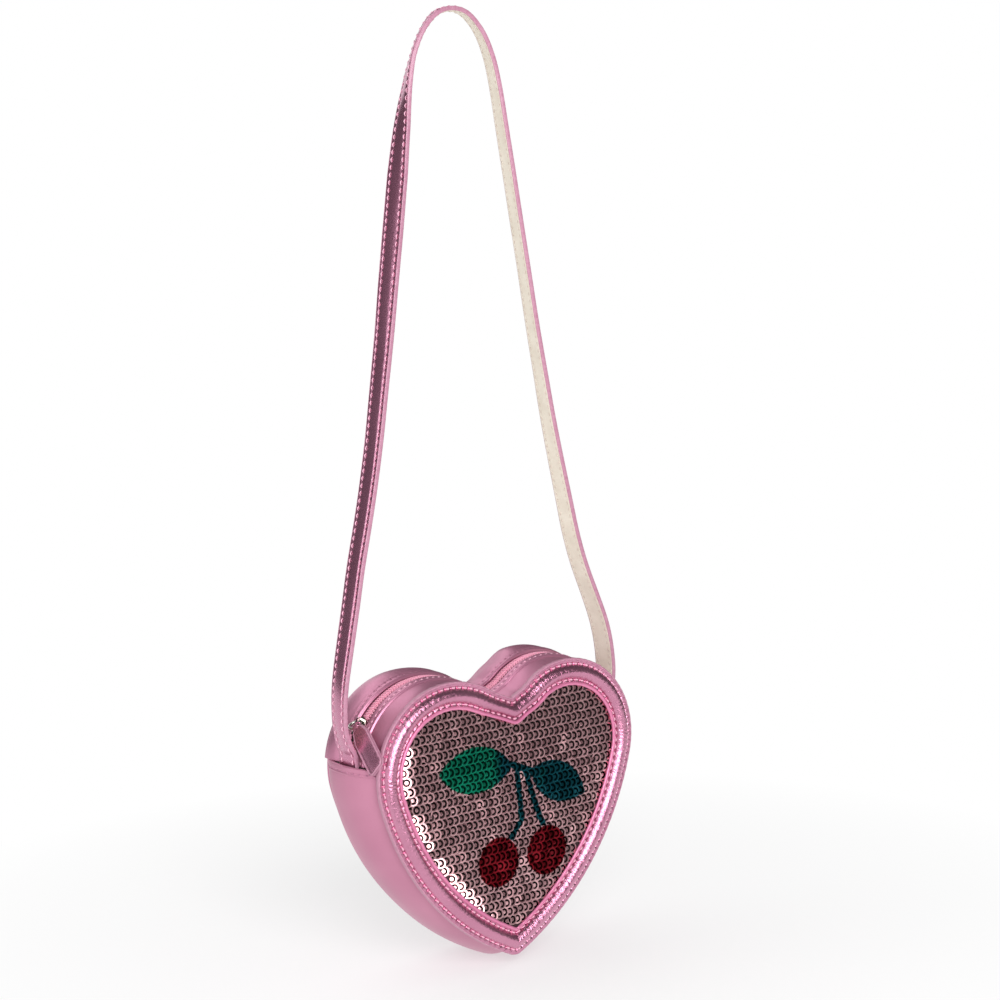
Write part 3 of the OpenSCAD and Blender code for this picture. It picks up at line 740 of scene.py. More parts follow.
@dataclass
class FrontFrame:
    """The padded frame on the front, crowned between its two rows of stitches."""

    crown: float = 2.7
    outer_row: float = 2.6
    inner_row: float = 10.1
    pitch: float = 3.4
    rings: int = 1120

    def profile(self) -> tuple[Array, Array]:
        """Depths and heights of the upper face, from the outer edge to the inner end.

        The band between the rows rises as a flattened half sine, and each row lies in a
        narrow groove.
        """
        d = np.concatenate([np.linspace(0.6, 2.0, 4), np.linspace(2.2, 3.0, 7),
                            np.linspace(3.3, 9.3, 20), np.linspace(9.6, 10.6, 8), [10.9, 11.3, 11.7]])
        t = np.clip((d - self.outer_row - 0.2) / (self.inner_row - self.outer_row - 0.4), 0, 1)
        z = SEAM_Z + LEATHER + self.crown * np.sin(math.pi * t) ** 0.72
        z -= 0.2 * bell(d - self.outer_row, 0.5)
        z += 0.35 * smooth((d - self.inner_row) / 0.7)
        return d, z

    def build(self) -> list[bpy.types.Object]:
        """The band, its painted edge, its inner piping and two rows of stitches."""
        s = np.linspace(*ROUND, self.rings, endpoint=False)
        d, z = self.profile()
        edge = np.radians(np.linspace(250, 100, 5))
        d_all = np.concatenate([[3.0, 0.6], 0.6 + 0.6 * np.cos(edge), d, [11.9, 11.5]])
        z_all = np.concatenate([[SEAM_Z, SEAM_Z], SEAM_Z + 0.6 + 0.6 * np.sin(edge), z,
                                [z[-1] - 0.3, SEAM_Z]])
        top = ((z_all > SEAM_Z + 0.9) & (d_all > 0.5))[None, :]
        pull = np.zeros((len(s), 1))
        for row, reach in ((self.outer_row, 0.55), (self.inner_row, 0.6)):
            turns = phase(s, row, *ROUND, self.pitch)[:, None]
            pull = pull + 0.55 * holes(turns) * bell(d_all - row, reach) \
                + 0.16 * (0.5 + 0.5 * np.cos(TAU * turns)) * bell(d_all - row, 1.9)
        crease = 0.07 * np.sin(2.3 * s[:, None] + 0.5 * d_all + 3 * np.sin(0.31 * s[:, None])) \
            * (0.6 + 0.4 * np.sin(0.37 * s[:, None] + 1.3)) * bell(d_all - 6.4, 3.2)
        rings = HEART.sweep(s, d_all, z_all + np.where(top, crease - pull, 0))
        band = loft("front_band", rings, True)
        mark(band, run=np.tile(s[:, None], (1, len(d_all))), deep=np.tile(d_all, (len(s), 1)))
        dress(band, FoilLeather(depth=0.12, rough=0.18, crinkle=1.5, metal=0.9))
        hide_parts("front_frame")
        top_z = SEAM_Z + LEATHER
        return [band, self.edge(), self.piping(),
                seam_row("front_outer_stitches", ROUND, self.outer_row, top_z - 0.12, self.pitch,
                         LIGHT_THREAD),
                seam_row("front_inner_stitches", ROUND, self.inner_row, top_z + 0.06, self.pitch,
                         LIGHT_THREAD)]

    def edge(self) -> bpy.types.Object:
        """Paint on the cut edges of the frame and the gusset's seam allowance."""
        a = np.linspace(0, TAU, 14, endpoint=False)
        d = 0.42 + 0.52 * np.cos(a)
        z = SEAM_Z + 1.24 * np.sign(np.sin(a)) * np.abs(np.sin(a)) ** 0.6
        s = np.linspace(*ROUND, 620, endpoint=False)
        lumps = 0.05 * np.sin(s * 1.7 + 2 * np.sin(s * 0.23))[:, None]
        return dress(loft("front_painted_edge", HEART.sweep(s, d + lumps, z), True), EdgePaint())

    def piping(self) -> bpy.types.Object:
        """The rolled inner edge, which lies on the sequins."""
        a = np.linspace(0, TAU, 16, endpoint=False)
        d = 11.85 + 0.85 * np.cos(a)
        z = SEAM_Z + 1.75 + 0.72 * np.sin(a)
        s = np.linspace(*ROUND, 620, endpoint=False)
        roll = 0.05 * np.sin(s * 0.9 + 2 * np.sin(s * 0.17))[:, None]
        return dress(loft("front_piping", HEART.sweep(s, d + roll, z + roll), True),
                     FoilLeather(light=(0.72, 0.24, 0.40), dark=(0.62, 0.18, 0.33), metal=0.4, rough=0.4))


@dataclass
class BackPanel:
    """The back: a low padded face with a turned edge and one row of stitches."""

    crown: float = 1.3
    row: float = 6.5
    pitch: float = 3.4
    edge: float = 3.9
    rings: int = 900

    def build(self) -> list[bpy.types.Object]:
        """The panel and its row of stitches."""
        s = np.linspace(*ROUND, self.rings, endpoint=False)
        turn = np.radians(np.linspace(265, 100, 7))
        d = np.concatenate([[self.edge + 1.3], np.linspace(5.5, 7.5, 11), np.linspace(8.0, 14.0, 12)])
        z = SEAM_Z + LEATHER + self.crown * smooth((d - 6.8) / 6.0) - 0.2 * bell(d - self.row, 0.5)
        d_all = np.concatenate([self.edge + 1.2 + 1.2 * np.cos(turn), d])
        z_all = np.concatenate([SEAM_Z + 1.2 * np.sin(turn), z])
        turns = phase(s, self.row, *ROUND, self.pitch)[:, None]
        dip = (0.5 * holes(turns) * bell(d_all - self.row, 0.55)
               + 0.14 * bell(d_all - self.row, 1.8)) * (d_all > 5.2)
        rim = HEART.sweep(s, d_all - rear_out(s)[:, None] * bell(d_all, 4.0), -(z_all - dip))
        middle = -(SEAM_Z + LEATHER + self.crown + 0.1)
        mid = world(np.array(0.0), np.array(-12.0), np.array(middle))
        t = np.linspace(0, 0.97, 18)[1:, None]
        last = rim[:, -1:]
        inner = mid + (last - mid) * (1 - t)
        inner[..., 1] = last[..., 1] + (mid[1] - last[..., 1]) * (1 - (1 - t[:, 0]) ** 2)
        under = HEART.sweep(s, np.array([12.0, 6.0]), np.full(2, -SEAM_Z))
        core = world(np.array(0.0), np.array(-12.0), np.array(-SEAM_Z))
        core = core + (under[:, :1] - core) * 0.04
        panel = dress(disc("back_cover", np.concatenate([core, under, rim, inner], 1)),
                      FoilLeather(depth=0.05, rough=0.36))
        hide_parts("back_panel")
        return [panel, seam_row("back_stitches", ROUND, self.row, -(SEAM_Z + LEATHER - 0.12),
                                self.pitch, LIGHT_THREAD)]


def disc(name: str, rings: Array) -> bpy.types.Object:
    """A closed skin whose rings, of shape (m, n, 3), close along m; each end gets a fan.

    Args:
        name: name of the piece.
        rings: points; the first and the last of each of the m rows lie round the two poles.
    Returns:
        the piece.
    """
    m, n = rings.shape[:2]
    i, k = np.arange(m)[:, None], np.arange(n - 1)[None, :]
    nxt = (i + 1) % m
    quads = np.stack([i * n + k, nxt * n + k, nxt * n + k + 1, i * n + k + 1], -1).reshape(-1, 4)
    i, nxt = i[:, 0], nxt[:, 0]
    fans = np.stack([nxt * n, i * n, np.full(m, m * n)], -1).tolist() \
        + np.stack([i * n + n - 1, nxt * n + n - 1, np.full(m, m * n + 1)], -1).tolist()
    points = np.concatenate([rings.reshape(-1, 3), [rings[:, 0].mean(0)], [rings[:, -1].mean(0)]])
    return make_mesh(name, points, quads.tolist() + fans)


def front_edge() -> tuple[Array, Array]:
    """Section of the seam allowance behind the front frame, from its inner end to the fold."""
    a = np.radians(np.linspace(80, 280, 6))
    d = np.concatenate([[FLANGE + LEATHER, 3.0], 0.6 + 0.6 * np.cos(a), [2.0, 3.1, 3.7]])
    z = np.concatenate([[SEAM_Z, SEAM_Z], SEAM_Z - 0.6 + 0.6 * np.sin(a), [WALL_Z] * 3])
    return d, z


def rear_out(s: Array) -> Array:
    """How far the rear edge stands out at lengths s: most on both lobes, least at the point."""
    free = np.abs(s) - np.where(s > 0, 20.0, 2.0)
    low = smooth((np.abs(s) - HEART.half + 70) / 55)
    return 1.3 + (2.5 - 2.3 * low) * smooth(free / 15)


def rear_ease(s: Array, z: Array) -> Array:
    """How far a wall has turned out from the seam allowance's fold towards its rear edge.

    It eases from 0 at the middle to the whole way at the rear seam, where the leather is
    turned in.
    """
    return rear_out(s) * (smooth(-z / WALL_Z) + 0.18 * bell(z + 12, 6.0))


@dataclass
class BottomGusset:
    """The strip round the point that swells between the front seam and the rear one."""

    bulge: float = 8.04
    hem: float = 3.6
    rings: int = 420

    def wall(self, z: Array) -> Array:
        """Depth of the outer face at heights z: a parabola that swells outwards."""
        return FLANGE - self.bulge * (1 - (z / WALL_Z) ** 2)

    def build(self) -> list[bpy.types.Object]:
        """The strip and the stitches of its two hems."""
        start, end = GUSSET_TOP_S, 2 * HEART.half - GUSSET_TOP_S
        ends = smooth(np.linspace(0, 1, 44)) * 6
        s = np.concatenate([start + ends[:-1], np.linspace(start + 6, end - 6, self.rings),
                            end - ends[::-1][1:]])
        edge_d, edge_z = front_edge()
        z_wall = WALL_Z * np.sin(np.radians(np.linspace(80, -86, 46)))
        from_end = np.minimum(s - start, end - s)[:, None]
        spread = np.clip(1 - (z_wall / WALL_Z) ** 2, 0, 1) ** 0.3
        fold = 0.6 * smooth((self.hem - from_end) / 0.5) * smooth(from_end / 0.35) \
            - 0.3 * bell(from_end - 2.4, 0.35)
        sag = 0.3 * np.sin(s * 0.071 + 1.1) * np.sin(s * 0.023 + 0.4)
        ripple = 0.2 * np.sin(s[:, None] * 0.62 + 2.0 * np.sin(s[:, None] * 0.11)) \
            * bell(z_wall - 17.6, 2.0)
        soft = smooth(from_end / 12)
        outer = self.wall(z_wall) - rear_ease(s[:, None], z_wall) - fold * spread \
            + soft * (sag[:, None] * spread + ripple)
        tuck = np.radians(np.linspace(20, 100, 4))
        rear_d = outer[:, -1:] + 1.1 * (1 - np.cos(tuck))
        rear_z = z_wall[-1] - 1.0 * np.sin(tuck)
        in_z = np.concatenate([[-SEAM_Z + 0.4], z_wall[::-5][1:] * 0.93])
        inner = np.tile(self.wall(in_z) + LEATHER - 0.2, (len(s), 1)) - 0.6 * rear_ease(s[:, None], in_z)
        d = np.concatenate([np.tile(edge_d, (len(s), 1)), outer, rear_d, inner], 1)
        z = np.concatenate([edge_z, z_wall, rear_z, in_z])
        strip = loft("gusset_strip", HEART.sweep(s, d, z))
        dress(strip, FoilLeather(light=(0.565, 0.24, 0.35), dark=(0.485, 0.19, 0.29), rough=0.46, metal=0.55))
        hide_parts("bottom_gusset")
        return [strip, self.hem_stitches(start, end)]

    def hem_stitches(self, start: float, end: float) -> bpy.types.Object:
        """Stitches across the strip, below the fold at each of its two ends."""
        z = np.arange(-17.0, 17.1, 3.4)
        spots, along, out = [], [], []
        for s in (start + 2.4, end - 2.4):
            here = np.full(len(z), s)
            deep = self.wall(z) - rear_ease(here, z) - 0.22
            ahead = self.wall(z + 0.5) - rear_ease(here, z + 0.5) - 0.22
            spot = world(*HEART.flat(here, deep), z)
            spots.append(spot)
            along.append(world(*HEART.flat(here, ahead), z + 0.5) - spot)
            out.append(spot - world(*HEART.flat(here, deep + 0.5), z))
        return dress(stitches("gusset_hem_stitches", *(np.concatenate(a) for a in (spots, along, out)),
                              2.2, 0.3), DARK_THREAD)


@dataclass
class ZipGusset:
    """The swelling bands, tapes and coils of the zip, over both lobes."""

    root_bulge: float = 2.52
    bulge: float = 3.5
    gap: float = 7.2
    lip: float = 4.4
    rings: int = 620
    coil_pitch: float = 1.4
    tape_flat: tuple = (0.0115, 0.183)

    def swell(self, s: Array) -> Array:
        """The swell at lengths s, eased down over 20 degrees where the strap's ends go in."""
        over = (GUSSET_TOP_S - np.abs(s)) / LOBE_R
        return self.root_bulge + (self.bulge - self.root_bulge) * smooth(over / math.radians(20))

    def wall(self, s: Array, z: Array) -> Array:
        """Depth of the bands' outer face at lengths s and heights z."""
        return FLANGE - self.swell(s) * (1 - (z / WALL_Z) ** 2)

    def band(self, name: str, side: int, node: str) -> list[bpy.types.Object]:
        """One leather band with a folded lip along the zip, on the front or the back side.

        Args:
            name: name of the piece.
            side: 1 for the front, -1 for the back, whose outer edge is turned in.
            node: the node that it replaces.
        Returns:
            the band and its row of stitches.
        """
        span = (-GUSSET_TOP_S, GUSSET_TOP_S)
        s = np.linspace(*span, self.rings)
        low = self.gap / 2
        z_wall = np.concatenate([np.linspace(WALL_Z - (0.25 if side > 0 else 0.0), low + self.lip + 0.5, 18),
                                 np.linspace(low + self.lip + 0.3, low + self.lip - 0.5, 7),
                                 np.linspace(low + self.lip - 0.8, low + 0.6, 10)])
        row = low + 2.3
        dips = holes(phase(s, 2.0, *span, 3.2))[:, None]
        raised = 0.75 * smooth((low + self.lip + 0.15 - z_wall) / 0.55) \
            - (0.16 + 0.35 * dips) * bell(z_wall - row, 0.45)
        drift = 0.14 * np.sin(s[:, None] * 0.21 + z_wall * 0.2) * bell(z_wall - 14, 3.5)
        outer = self.wall(s[:, None], z_wall) - raised + drift - (side < 0) * rear_ease(s[:, None], -z_wall)
        if side > 0:
            edge_d, edge_z = front_edge()
            edge_d = np.tile(edge_d, (len(s), 1))
        else:
            tuck = np.radians(np.linspace(100, 10, 5))
            edge_d = np.concatenate([np.full((len(s), 1), FLANGE + LEATHER),
                                     outer[:, :1] + 1.1 * (1 - np.cos(tuck))], 1)
            edge_z = np.concatenate([[SEAM_Z - 0.2], WALL_Z + 1.0 * np.sin(tuck)])
        a = np.radians(np.linspace(100, 260, 7))
        nose_z = low + 0.6 + 0.62 * np.cos(a)
        nose_d = self.wall(s[:, None], nose_z) - 0.75 + 0.62 - 0.62 * np.sin(a)
        in_z = np.linspace(low + 0.8, WALL_Z - 1.2, 8)
        inner = self.wall(s[:, None], in_z) + LEATHER - 0.15
        d = np.concatenate([edge_d, outer, nose_d, inner], 1)
        z = np.concatenate([edge_z, z_wall, nose_z, in_z])
        skin = dress(loft(name, HEART.sweep(s, d, side * z)), FoilLeather(rough=0.4, metal=0.7))
        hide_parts(node)
        spots_s = HEART.even(*span, 2.0, 3.2)
        spot_d = self.wall(spots_s, row) - 0.5
        spots = world(*HEART.flat(spots_s, spot_d), side * row)
        along = world(*HEART.flat(spots_s + 0.2, spot_d), side * row) - spots
        out = spots - world(*HEART.flat(spots_s, spot_d + 0.5), side * row)
        thread = LIGHT_THREAD if side > 0 else DARK_THREAD
        return [skin, dress(stitches(name + "_stitches", spots, along, out, 2.1, 0.28), thread)]

    def tape(self, name: str, side: int, node: str) -> bpy.types.Object:
        """One woven tape under the band, from the slot outwards."""
        s = np.linspace(-GUSSET_TOP_S, GUSSET_TOP_S, 300)
        z_out = np.linspace(0.5, 12.0, 14)
        top = self.wall(s[:, None], z_out) + LEATHER + 0.1
        d = np.concatenate([top, top[:, ::-1] + 0.6], 1)
        z = np.concatenate([z_out, z_out[::-1]])
        cloth = dress(loft(name, HEART.sweep(s, d, side * z)), Woven())
        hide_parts(node)
        return cloth

    def coil(self, name: str, side: int, node: str, lag: float) -> bpy.types.Object:
        """One coil: a round wire that winds along the tape and hooks into the other one.

        The winding is an oval spiral: z goes as a cosine and the height as a sine of one
        turn a pitch.
        """
        fine = HEART.even(-GUSSET_TOP_S + 1.5, GUSSET_TOP_S - 1.5, 2.0, self.coil_pitch / 14)
        a = TAU * (np.arange(len(fine)) / 14 + lag)
        z = 0.78 - 1.45 * np.cos(a)
        d = self.wall(fine, np.zeros_like(z)) + 0.25 + 0.3 * np.sin(a)
        line = world(*HEART.flat(fine, d), side * z)
        wire = dress(tube(name, line, 0.31 * MM, 6), Nylon())
        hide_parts(node)
        return wire

    def build(self) -> list[bpy.types.Object]:
        """Both bands, tapes and coils."""
        return [*self.band("zip_front_band", 1, "zip_band_front"),
                *self.band("zip_back_band", -1, "zip_band_back"),
                self.tape("zip_front_tape", 1, "zip_tape_front"),
                self.tape("zip_back_tape", -1, "zip_tape_back"),
                self.coil("zip_front_coil", 1, "zip_coil_front", 0.0),
                self.coil("zip_back_coil", -1, "zip_coil_back", 0.5)]


def carried(line: Array, closed: bool = False) -> tuple[Array, Array]:
    """Two ways square to a line of points that do not twist round it.

    The first is the part of the fore-and-aft way that is square to the line at each point.
    """
    along = unit(np.roll(line, -1, 0) - np.roll(line, 1, 0)) if closed else unit(np.gradient(line, axis=0))
    fixed = np.array([0.0, 1.0, 0.0])
    side = unit(fixed - (along @ fixed)[:, None] * along)
    return side, np.cross(along, side)


def tube(name: str, line: Array, radius: float, around: int, closed: bool = False) -> bpy.types.Object:
    """A round wire along a line of points: rings of points about each of them."""
    side, up = carried(line, closed)
    a = np.linspace(0, TAU, around, endpoint=False)[None, :, None]
    rings = line[:, None] + radius * (np.cos(a) * side[:, None] + np.sin(a) * up[:, None])
    return loft(name, rings, closed)


# ---------------------------------------------------------------- strap

class Side(Enum):
    """Which face of the strap something lies on."""

    OUTER = 1
    INNER = -1


@dataclass
class Strap:
    """The shoulder strap: foil leather outside, suede inside, painted along both edges."""

    width: float = 12.5
    thick: float = 2.1
    leather: float = 1.3
    suede: float = 0.75
    root_x: float = 75.07
    hinge: float = 9.0
    crest: float = 1.003
    twist: float = 38.0
    tail_r: float = 40.57
    fine: int = 8
    route: tuple = (
        (1, .0265), (1.004, .034), (1.027, .046), (1.048, .064), (1.055, .085), (1.046, .118),
        (1.02, .15), (.97, .19), (.9, .24), (.825, .30), (.746, .37), (.679, .44), (.624, .51),
        (.57, .58), (.522, .65), (.472, .72), (.423, .79), (.379, .85), (.338, .9), (.29, .94),
        (.218, .973), (.116, .996), (0, 1.003))
    near_twist: tuple = (0, 0, .1, .25, .25, .2, .15, .12, .1, .1, .1, .08, .05, 0, -.06, -.1,
                         -.06, .2, .6, .88, .9, .8, .75)
    far_twist: tuple = (0, 0, 0, 0, 0, 0, 0, .05, .1, .16, .23, .3, .37, .42, .45, .45, .45, .47,
                        .5, .54, .6, .68)

    def __post_init__(self) -> None:
        """Lays the line out once, with its across and outward ways."""
        share = np.array(self.route, float)
        left = np.stack([-self.root_x * share[:, 0], (share[:, 1] - self.crest) * DROP + self.thick / 2], -1)
        left[0, 1] = self.hinge - DROP
        points = np.concatenate([left, left[-2::-1] * [-1, 1]])
        turn = np.array(self.near_twist + self.far_twist[::-1], float) * self.twist
        knots = np.concatenate([[2 * points[0] - points[1]], points, [2 * points[-1] - points[-2]]])
        t = np.linspace(0, len(points) - 1, (len(points) - 1) * self.fine + 1)
        i = np.minimum(t.astype(int), len(points) - 2)
        f = (t - i)[:, None]
        a, b, c, e = (knots[i + k] for k in range(4))
        line = 0.5 * (2 * b + f * (c - a) + f ** 2 * (2 * a - 5 * b + 4 * c - e)
                      + f ** 3 * (3 * b - a - 3 * c + e))
        self.turn = np.interp(t, np.arange(len(points)), turn)
        rise = line[:, 1] + DROP - self.hinge
        line[:, 0] -= 3.3 * smooth((rise - 38) / 55) * (1 - 0.3 * smooth((rise - 270) / 60)) \
            + 2.4 * bell(rise - 62, 34) * (line[:, 0] > 0)
        down = np.radians(np.linspace(6, -19.5, 14))
        arc = np.stack([HALF_W - LOBE_R + self.tail_r * np.cos(down),
                        self.tail_r * np.sin(down) - DROP], -1)
        tail = np.concatenate([[[self.root_x, self.hinge - 2.5 - DROP]], arc])
        whole = np.concatenate([tail[::-1] * [-1, 1], line, tail])
        pad = np.zeros(len(tail))
        self.turn = np.concatenate([pad, self.turn, pad])
        self.line = np.stack([whole[:, 0], 0 * whole[:, 0], whole[:, 1]], -1) * MM
        along = unit(np.gradient(self.line, axis=0))
        a = np.radians(-self.turn)
        w = np.stack([np.sin(a), -np.cos(a), 0 * a], -1)
        self.across = unit(w - (w * along).sum(-1, keepdims=True) * along)
        self.out = np.cross(self.across, along)
        self.run = np.concatenate([[0], np.cumsum(np.linalg.norm(np.diff(self.line, axis=0), axis=1))]) / MM

    def rings(self, w: Array, h: Array) -> Array:
        """A section of places across, w, and outwards, h, in mm, carried along the strap."""
        w, h = np.atleast_2d(w), np.atleast_2d(h)
        section = w[..., None] * self.across[:, None] + h[..., None] * self.out[:, None]
        return self.line[:, None] + MM * section

    def at(self, run: Array) -> tuple[Array, Array, Array, Array]:
        """Place, way along, across and out at lengths along the strap, in mm."""
        def read(v: Array) -> Array:
            return np.stack([np.interp(run, self.run, v[:, k]) for k in range(3)], -1)
        return (read(self.line), unit(read(np.gradient(self.line, axis=0))), unit(read(self.across)),
                unit(read(self.out)))

    def build(self) -> list[bpy.types.Object]:
        """Leather, suede, painted edges and four rows of stitches."""
        half, top, low = self.width / 2, self.thick / 2, self.thick / 2 - self.leather
        w = np.linspace(-half + 0.25, half - 0.25, 37)
        row = half - 2.1
        crown = 0.34 * np.clip(1 - (w / (row - 0.3)) ** 2, 0, 1) ** 0.6 - 0.16 * bell(np.abs(w) - row, 0.4)
        wave = 0.06 * np.sin(self.run[:, None] * 0.19 + w * 0.3) * np.sin(self.run[:, None] * 0.047)
        h = np.concatenate([top - 0.12 + crown + wave, np.full((len(self.run), 3), low + 0.02)], 1)
        leather = dress(loft("strap_outer", self.rings(np.concatenate([w, [half - 0.3, 0, -half + 0.3]]), h)),
                        FoilLeather(rough=0.24, metal=0.86, depth=0.035))
        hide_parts("strap_leather", "strap_tail_left", "strap_tail_right")
        w2 = np.linspace(half - 0.35, -half + 0.35, 25)
        inner = -top + 0.02 + 0.12 * bell(np.abs(w2) - row, 0.4)
        up = -top + self.suede
        suede = dress(loft("strap_inner", self.rings(
            np.concatenate([w2, [-half + 0.3, half - 0.3]]), np.concatenate([inner, [up, up]]))), Suede())
        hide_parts("strap_lining")
        pieces = [leather, suede]
        for key, way in (("front", 1), ("rear", -1)):
            a = np.linspace(0, TAU, 14, endpoint=False)
            bead_w = way * (half - 0.22 + 0.34 * np.cos(a))
            bead_h = (top - 0.02) * np.sign(np.sin(a)) * np.abs(np.sin(a)) ** 0.55
            pieces.append(dress(loft(f"strap_{key}_edge", self.rings(bead_w, bead_h)), EdgePaint()))
        pieces += [self.row(face, row) for face in Side]
        for piece in pieces:
            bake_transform(piece)
        return pieces

    def row(self, face: Side, across: float) -> bpy.types.Object:
        """Both rows of stitches on one face."""
        runs = np.arange(22, self.run[-1] - 21, 3.4)
        place, along, side, out = self.at(runs)
        sign = face.value
        lift = self.thick / 2 + (0.0 if sign > 0 else -0.1)
        spots = np.concatenate([place + MM * (k * across * side + sign * lift * out) for k in (-1, 1)])
        finish = LIGHT_THREAD if sign > 0 else Thread(light=(0.66, 0.56, 0.49), dark=(0.46, 0.37, 0.32))
        return dress(stitches(f"strap_{face.name.lower()}_stitches", spots, np.tile(along, (2, 1)),
                              sign * np.tile(out, (2, 1)), 2.3, 0.3 if sign > 0 else 0.2), finish)


# ---------------------------------------------------------------- sequins

@dataclass
class Sequins:
    """Thin discs in rows, each leaning over its neighbours, with two cherries on a stalk."""

    size: float = 5.2
    row: float = 4.5
    frame: float = 12.5
    cherry_r: float = 11.8
    stalk: float = 3.2
    leaf_size: tuple = (43.0, 22.0)
    cherries: tuple = ((-8.6, -48.6), (20.2, -48.6))
    leaves: tuple = (((1.5, -4.3), 176, 1.0), ((12.0, -8.4), -27, 0.85))
    stalks: tuple = (((1.5, -4.0), (12.5, -9.0)), ((4.0, -5.0), (5.8, -31.0)), ((5.8, -31.0), (-2.0, -40.0)),
                     ((9.0, -8.0), (14.8, -27.0)), ((14.8, -27.0), (20.0, -39.0)))
    lean: float = 11.0
    shingle: float = 3.8
    edge_turn: float = 33.0
    seed: int = 11

    def form(self) -> tuple[Array, list, Array]:
        """One disc: flat, with a turned rim of 12 sides, and how near its rim each point is."""
        r = np.array([0.70, 0.79, 0.9, 0.982, 1.0, 0.96]) * self.size / 2
        h = np.array([0.0, 0.004, 0.015, 0.028, 0.02, -0.02])
        a = np.linspace(0, TAU, 12, endpoint=False)
        ring = np.stack([r[:, None] * np.cos(a), r[:, None] * np.sin(a), h[:, None] + 0 * a], -1)
        points = np.concatenate([ring.reshape(-1, 3), [[0, 0, 0], [0, 0, -0.08]]]) * MM
        faces = [f for f in loft_faces(6, 12, False) if len(f) == 4]
        faces += [[(i + 1) % 12, i, 72] for i in range(12)]
        faces += [[60 + i, 60 + (i + 1) % 12, 73] for i in range(12)]
        return points, faces, np.concatenate([np.repeat([0, 0, 0.6, 1, 1, 0.5], 12), [0, 0]])

    def leaf(self, x: Array, y: Array, at: tuple, turn: float, share: float) -> Array:
        """Depth inside a leaf, in mm: the common part of two equal circles."""
        length, width = (share * v for v in self.leaf_size)
        a = math.radians(turn)
        u = (x - at[0]) * math.cos(a) + (y - at[1]) * math.sin(a) - length / 2
        v = -(x - at[0]) * math.sin(a) + (y - at[1]) * math.cos(a)
        r = (length ** 2 + width ** 2) / (4 * width)
        return r - np.hypot(u, np.abs(v) + r - width / 2)

    def motif(self, x: Array, y: Array) -> tuple[Array, Array]:
        """How far points lie inside the green parts and the red parts, in mm."""
        red = np.max([self.cherry_r - np.hypot(x - cx, y - cy) for cx, cy in self.cherries], 0)
        green = np.max([self.leaf(x, y, *leaf) for leaf in self.leaves], 0)
        for start, foot in self.stalks:
            way = np.subtract(foot, start)
            run = np.clip(((x - start[0]) * way[0] + (y - start[1]) * way[1]) / (way @ way), 0, 1)
            gap = np.hypot(x - start[0] - run * way[0], y - start[1] - run * way[1])
            green = np.maximum(green, self.stalk / 2 - gap)
        return np.where(red > 0, -1.0, green), red

    def build(self) -> list[bpy.types.Object]:
        """Three pieces of discs: the ground, the leaves with their stalks, and the cherries.

        Discs lean up their row and sway along it, and those at the left edge turn further
        out. A disc's rim rises by its own share, which drifts in waves over the panel.
        """
        rng = np.random.default_rng(self.seed)
        top, low, half_x = LOBE_R - self.frame, POINT_Y - self.frame, HALF_W - self.frame
        step = 0.6 * self.size
        rows = np.arange(-2, int((top + low) / self.row) + 1)
        cols = np.arange(int(2 * half_x / step) + 1)
        i, k = (v.ravel() for v in np.meshgrid(rows, cols, indexing="ij"))
        x = (i % 2) * step / 2 - half_x + k * step
        y = top - (i + 0.5) * self.row
        keep = HEART.inside(x, y) > self.frame + 0.3 - 2.6 * bell(x - 3, 13.0) * (y > -5)
        x, y, i = x[keep], y[keep], i[keep]
        depth = HEART.inside(x, y) - self.frame
        green, red = self.motif(x, y - 0.8)
        x = x + rng.normal(0, 0.12, len(x))
        y = y + rng.normal(0, 0.16, len(x))
        z = SEAM_Z + 0.85 + rng.normal(0, 0.05, len(x)) - 0.35 * bell(depth, 3.0)
        spots = world(x, y, z)
        lean = np.radians(self.lean + rng.normal(0, 2.2, len(x)))
        side = self.edge_turn * bell(depth, 4.4) * np.clip(-x / 30, 0, 1.0) * (1 - smooth((y - 10) / 8)) \
            * (rng.random(len(x)) > 0.2)
        sway = np.radians(rng.normal(0, 1.1, len(x)) - self.shingle - side)
        normal = unit(np.stack([np.sin(sway), -np.cos(lean) * np.cos(sway), np.sin(lean)], -1))
        across = unit(np.cross(np.array([0, 0, -1.0]), normal))
        cup = np.clip(-0.25 + 1.2 * np.sin(0.19 * x + 0.6 * np.sin(0.5 * y)) * np.sin(1.37 * i + 0.07 * x)
                      + rng.normal(0, 0.35, len(x)), 0.03, 1.4)
        axes = np.stack([across, np.cross(normal, across), normal * cup[:, None]], 1)
        form, faces, rim = self.form()
        shade = np.clip(rng.normal(0.42, 0.2, len(x)), 0, 1)
        made = []
        for name, mask, node, slot in (
                ("ground_sequins", (green <= 0) & (red <= 0), "rose_sequins", "rose_sequin"),
                ("green_sequins", (green > 0) & (red <= 0), "leaf_sequins", "leaf_sequin"),
                ("red_sequins", red > 0, "cherry_sequins", "cherry_sequin")):
            piece = many(name, form, faces, spots[mask], axes[mask])
            at = np.empty(len(piece.data.vertices) * 3, np.float32)
            piece.data.vertices.foreach_get("co", at)
            px, py = at[0::3] / MM, at[2::3] / MM + DROP
            in_green, in_red = self.motif(px, py)
            # rim also drives a painted highlight near each disc's edge, and lit drives painted light that
            # grows towards the left of the panel.
            mark(piece, shade=np.repeat(shade[mask], len(form)), rim=np.tile(rim, int(mask.sum())),
                 green=0.5 + in_green / 0.8, red=0.5 + in_red / 0.8, lit=smooth((-px - 2) / 12))
            dress(piece, SequinFilm(slot=slot))
            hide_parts(node)
            made.append(piece)
        return made


# ---------------------------------------------------------------- pull tab

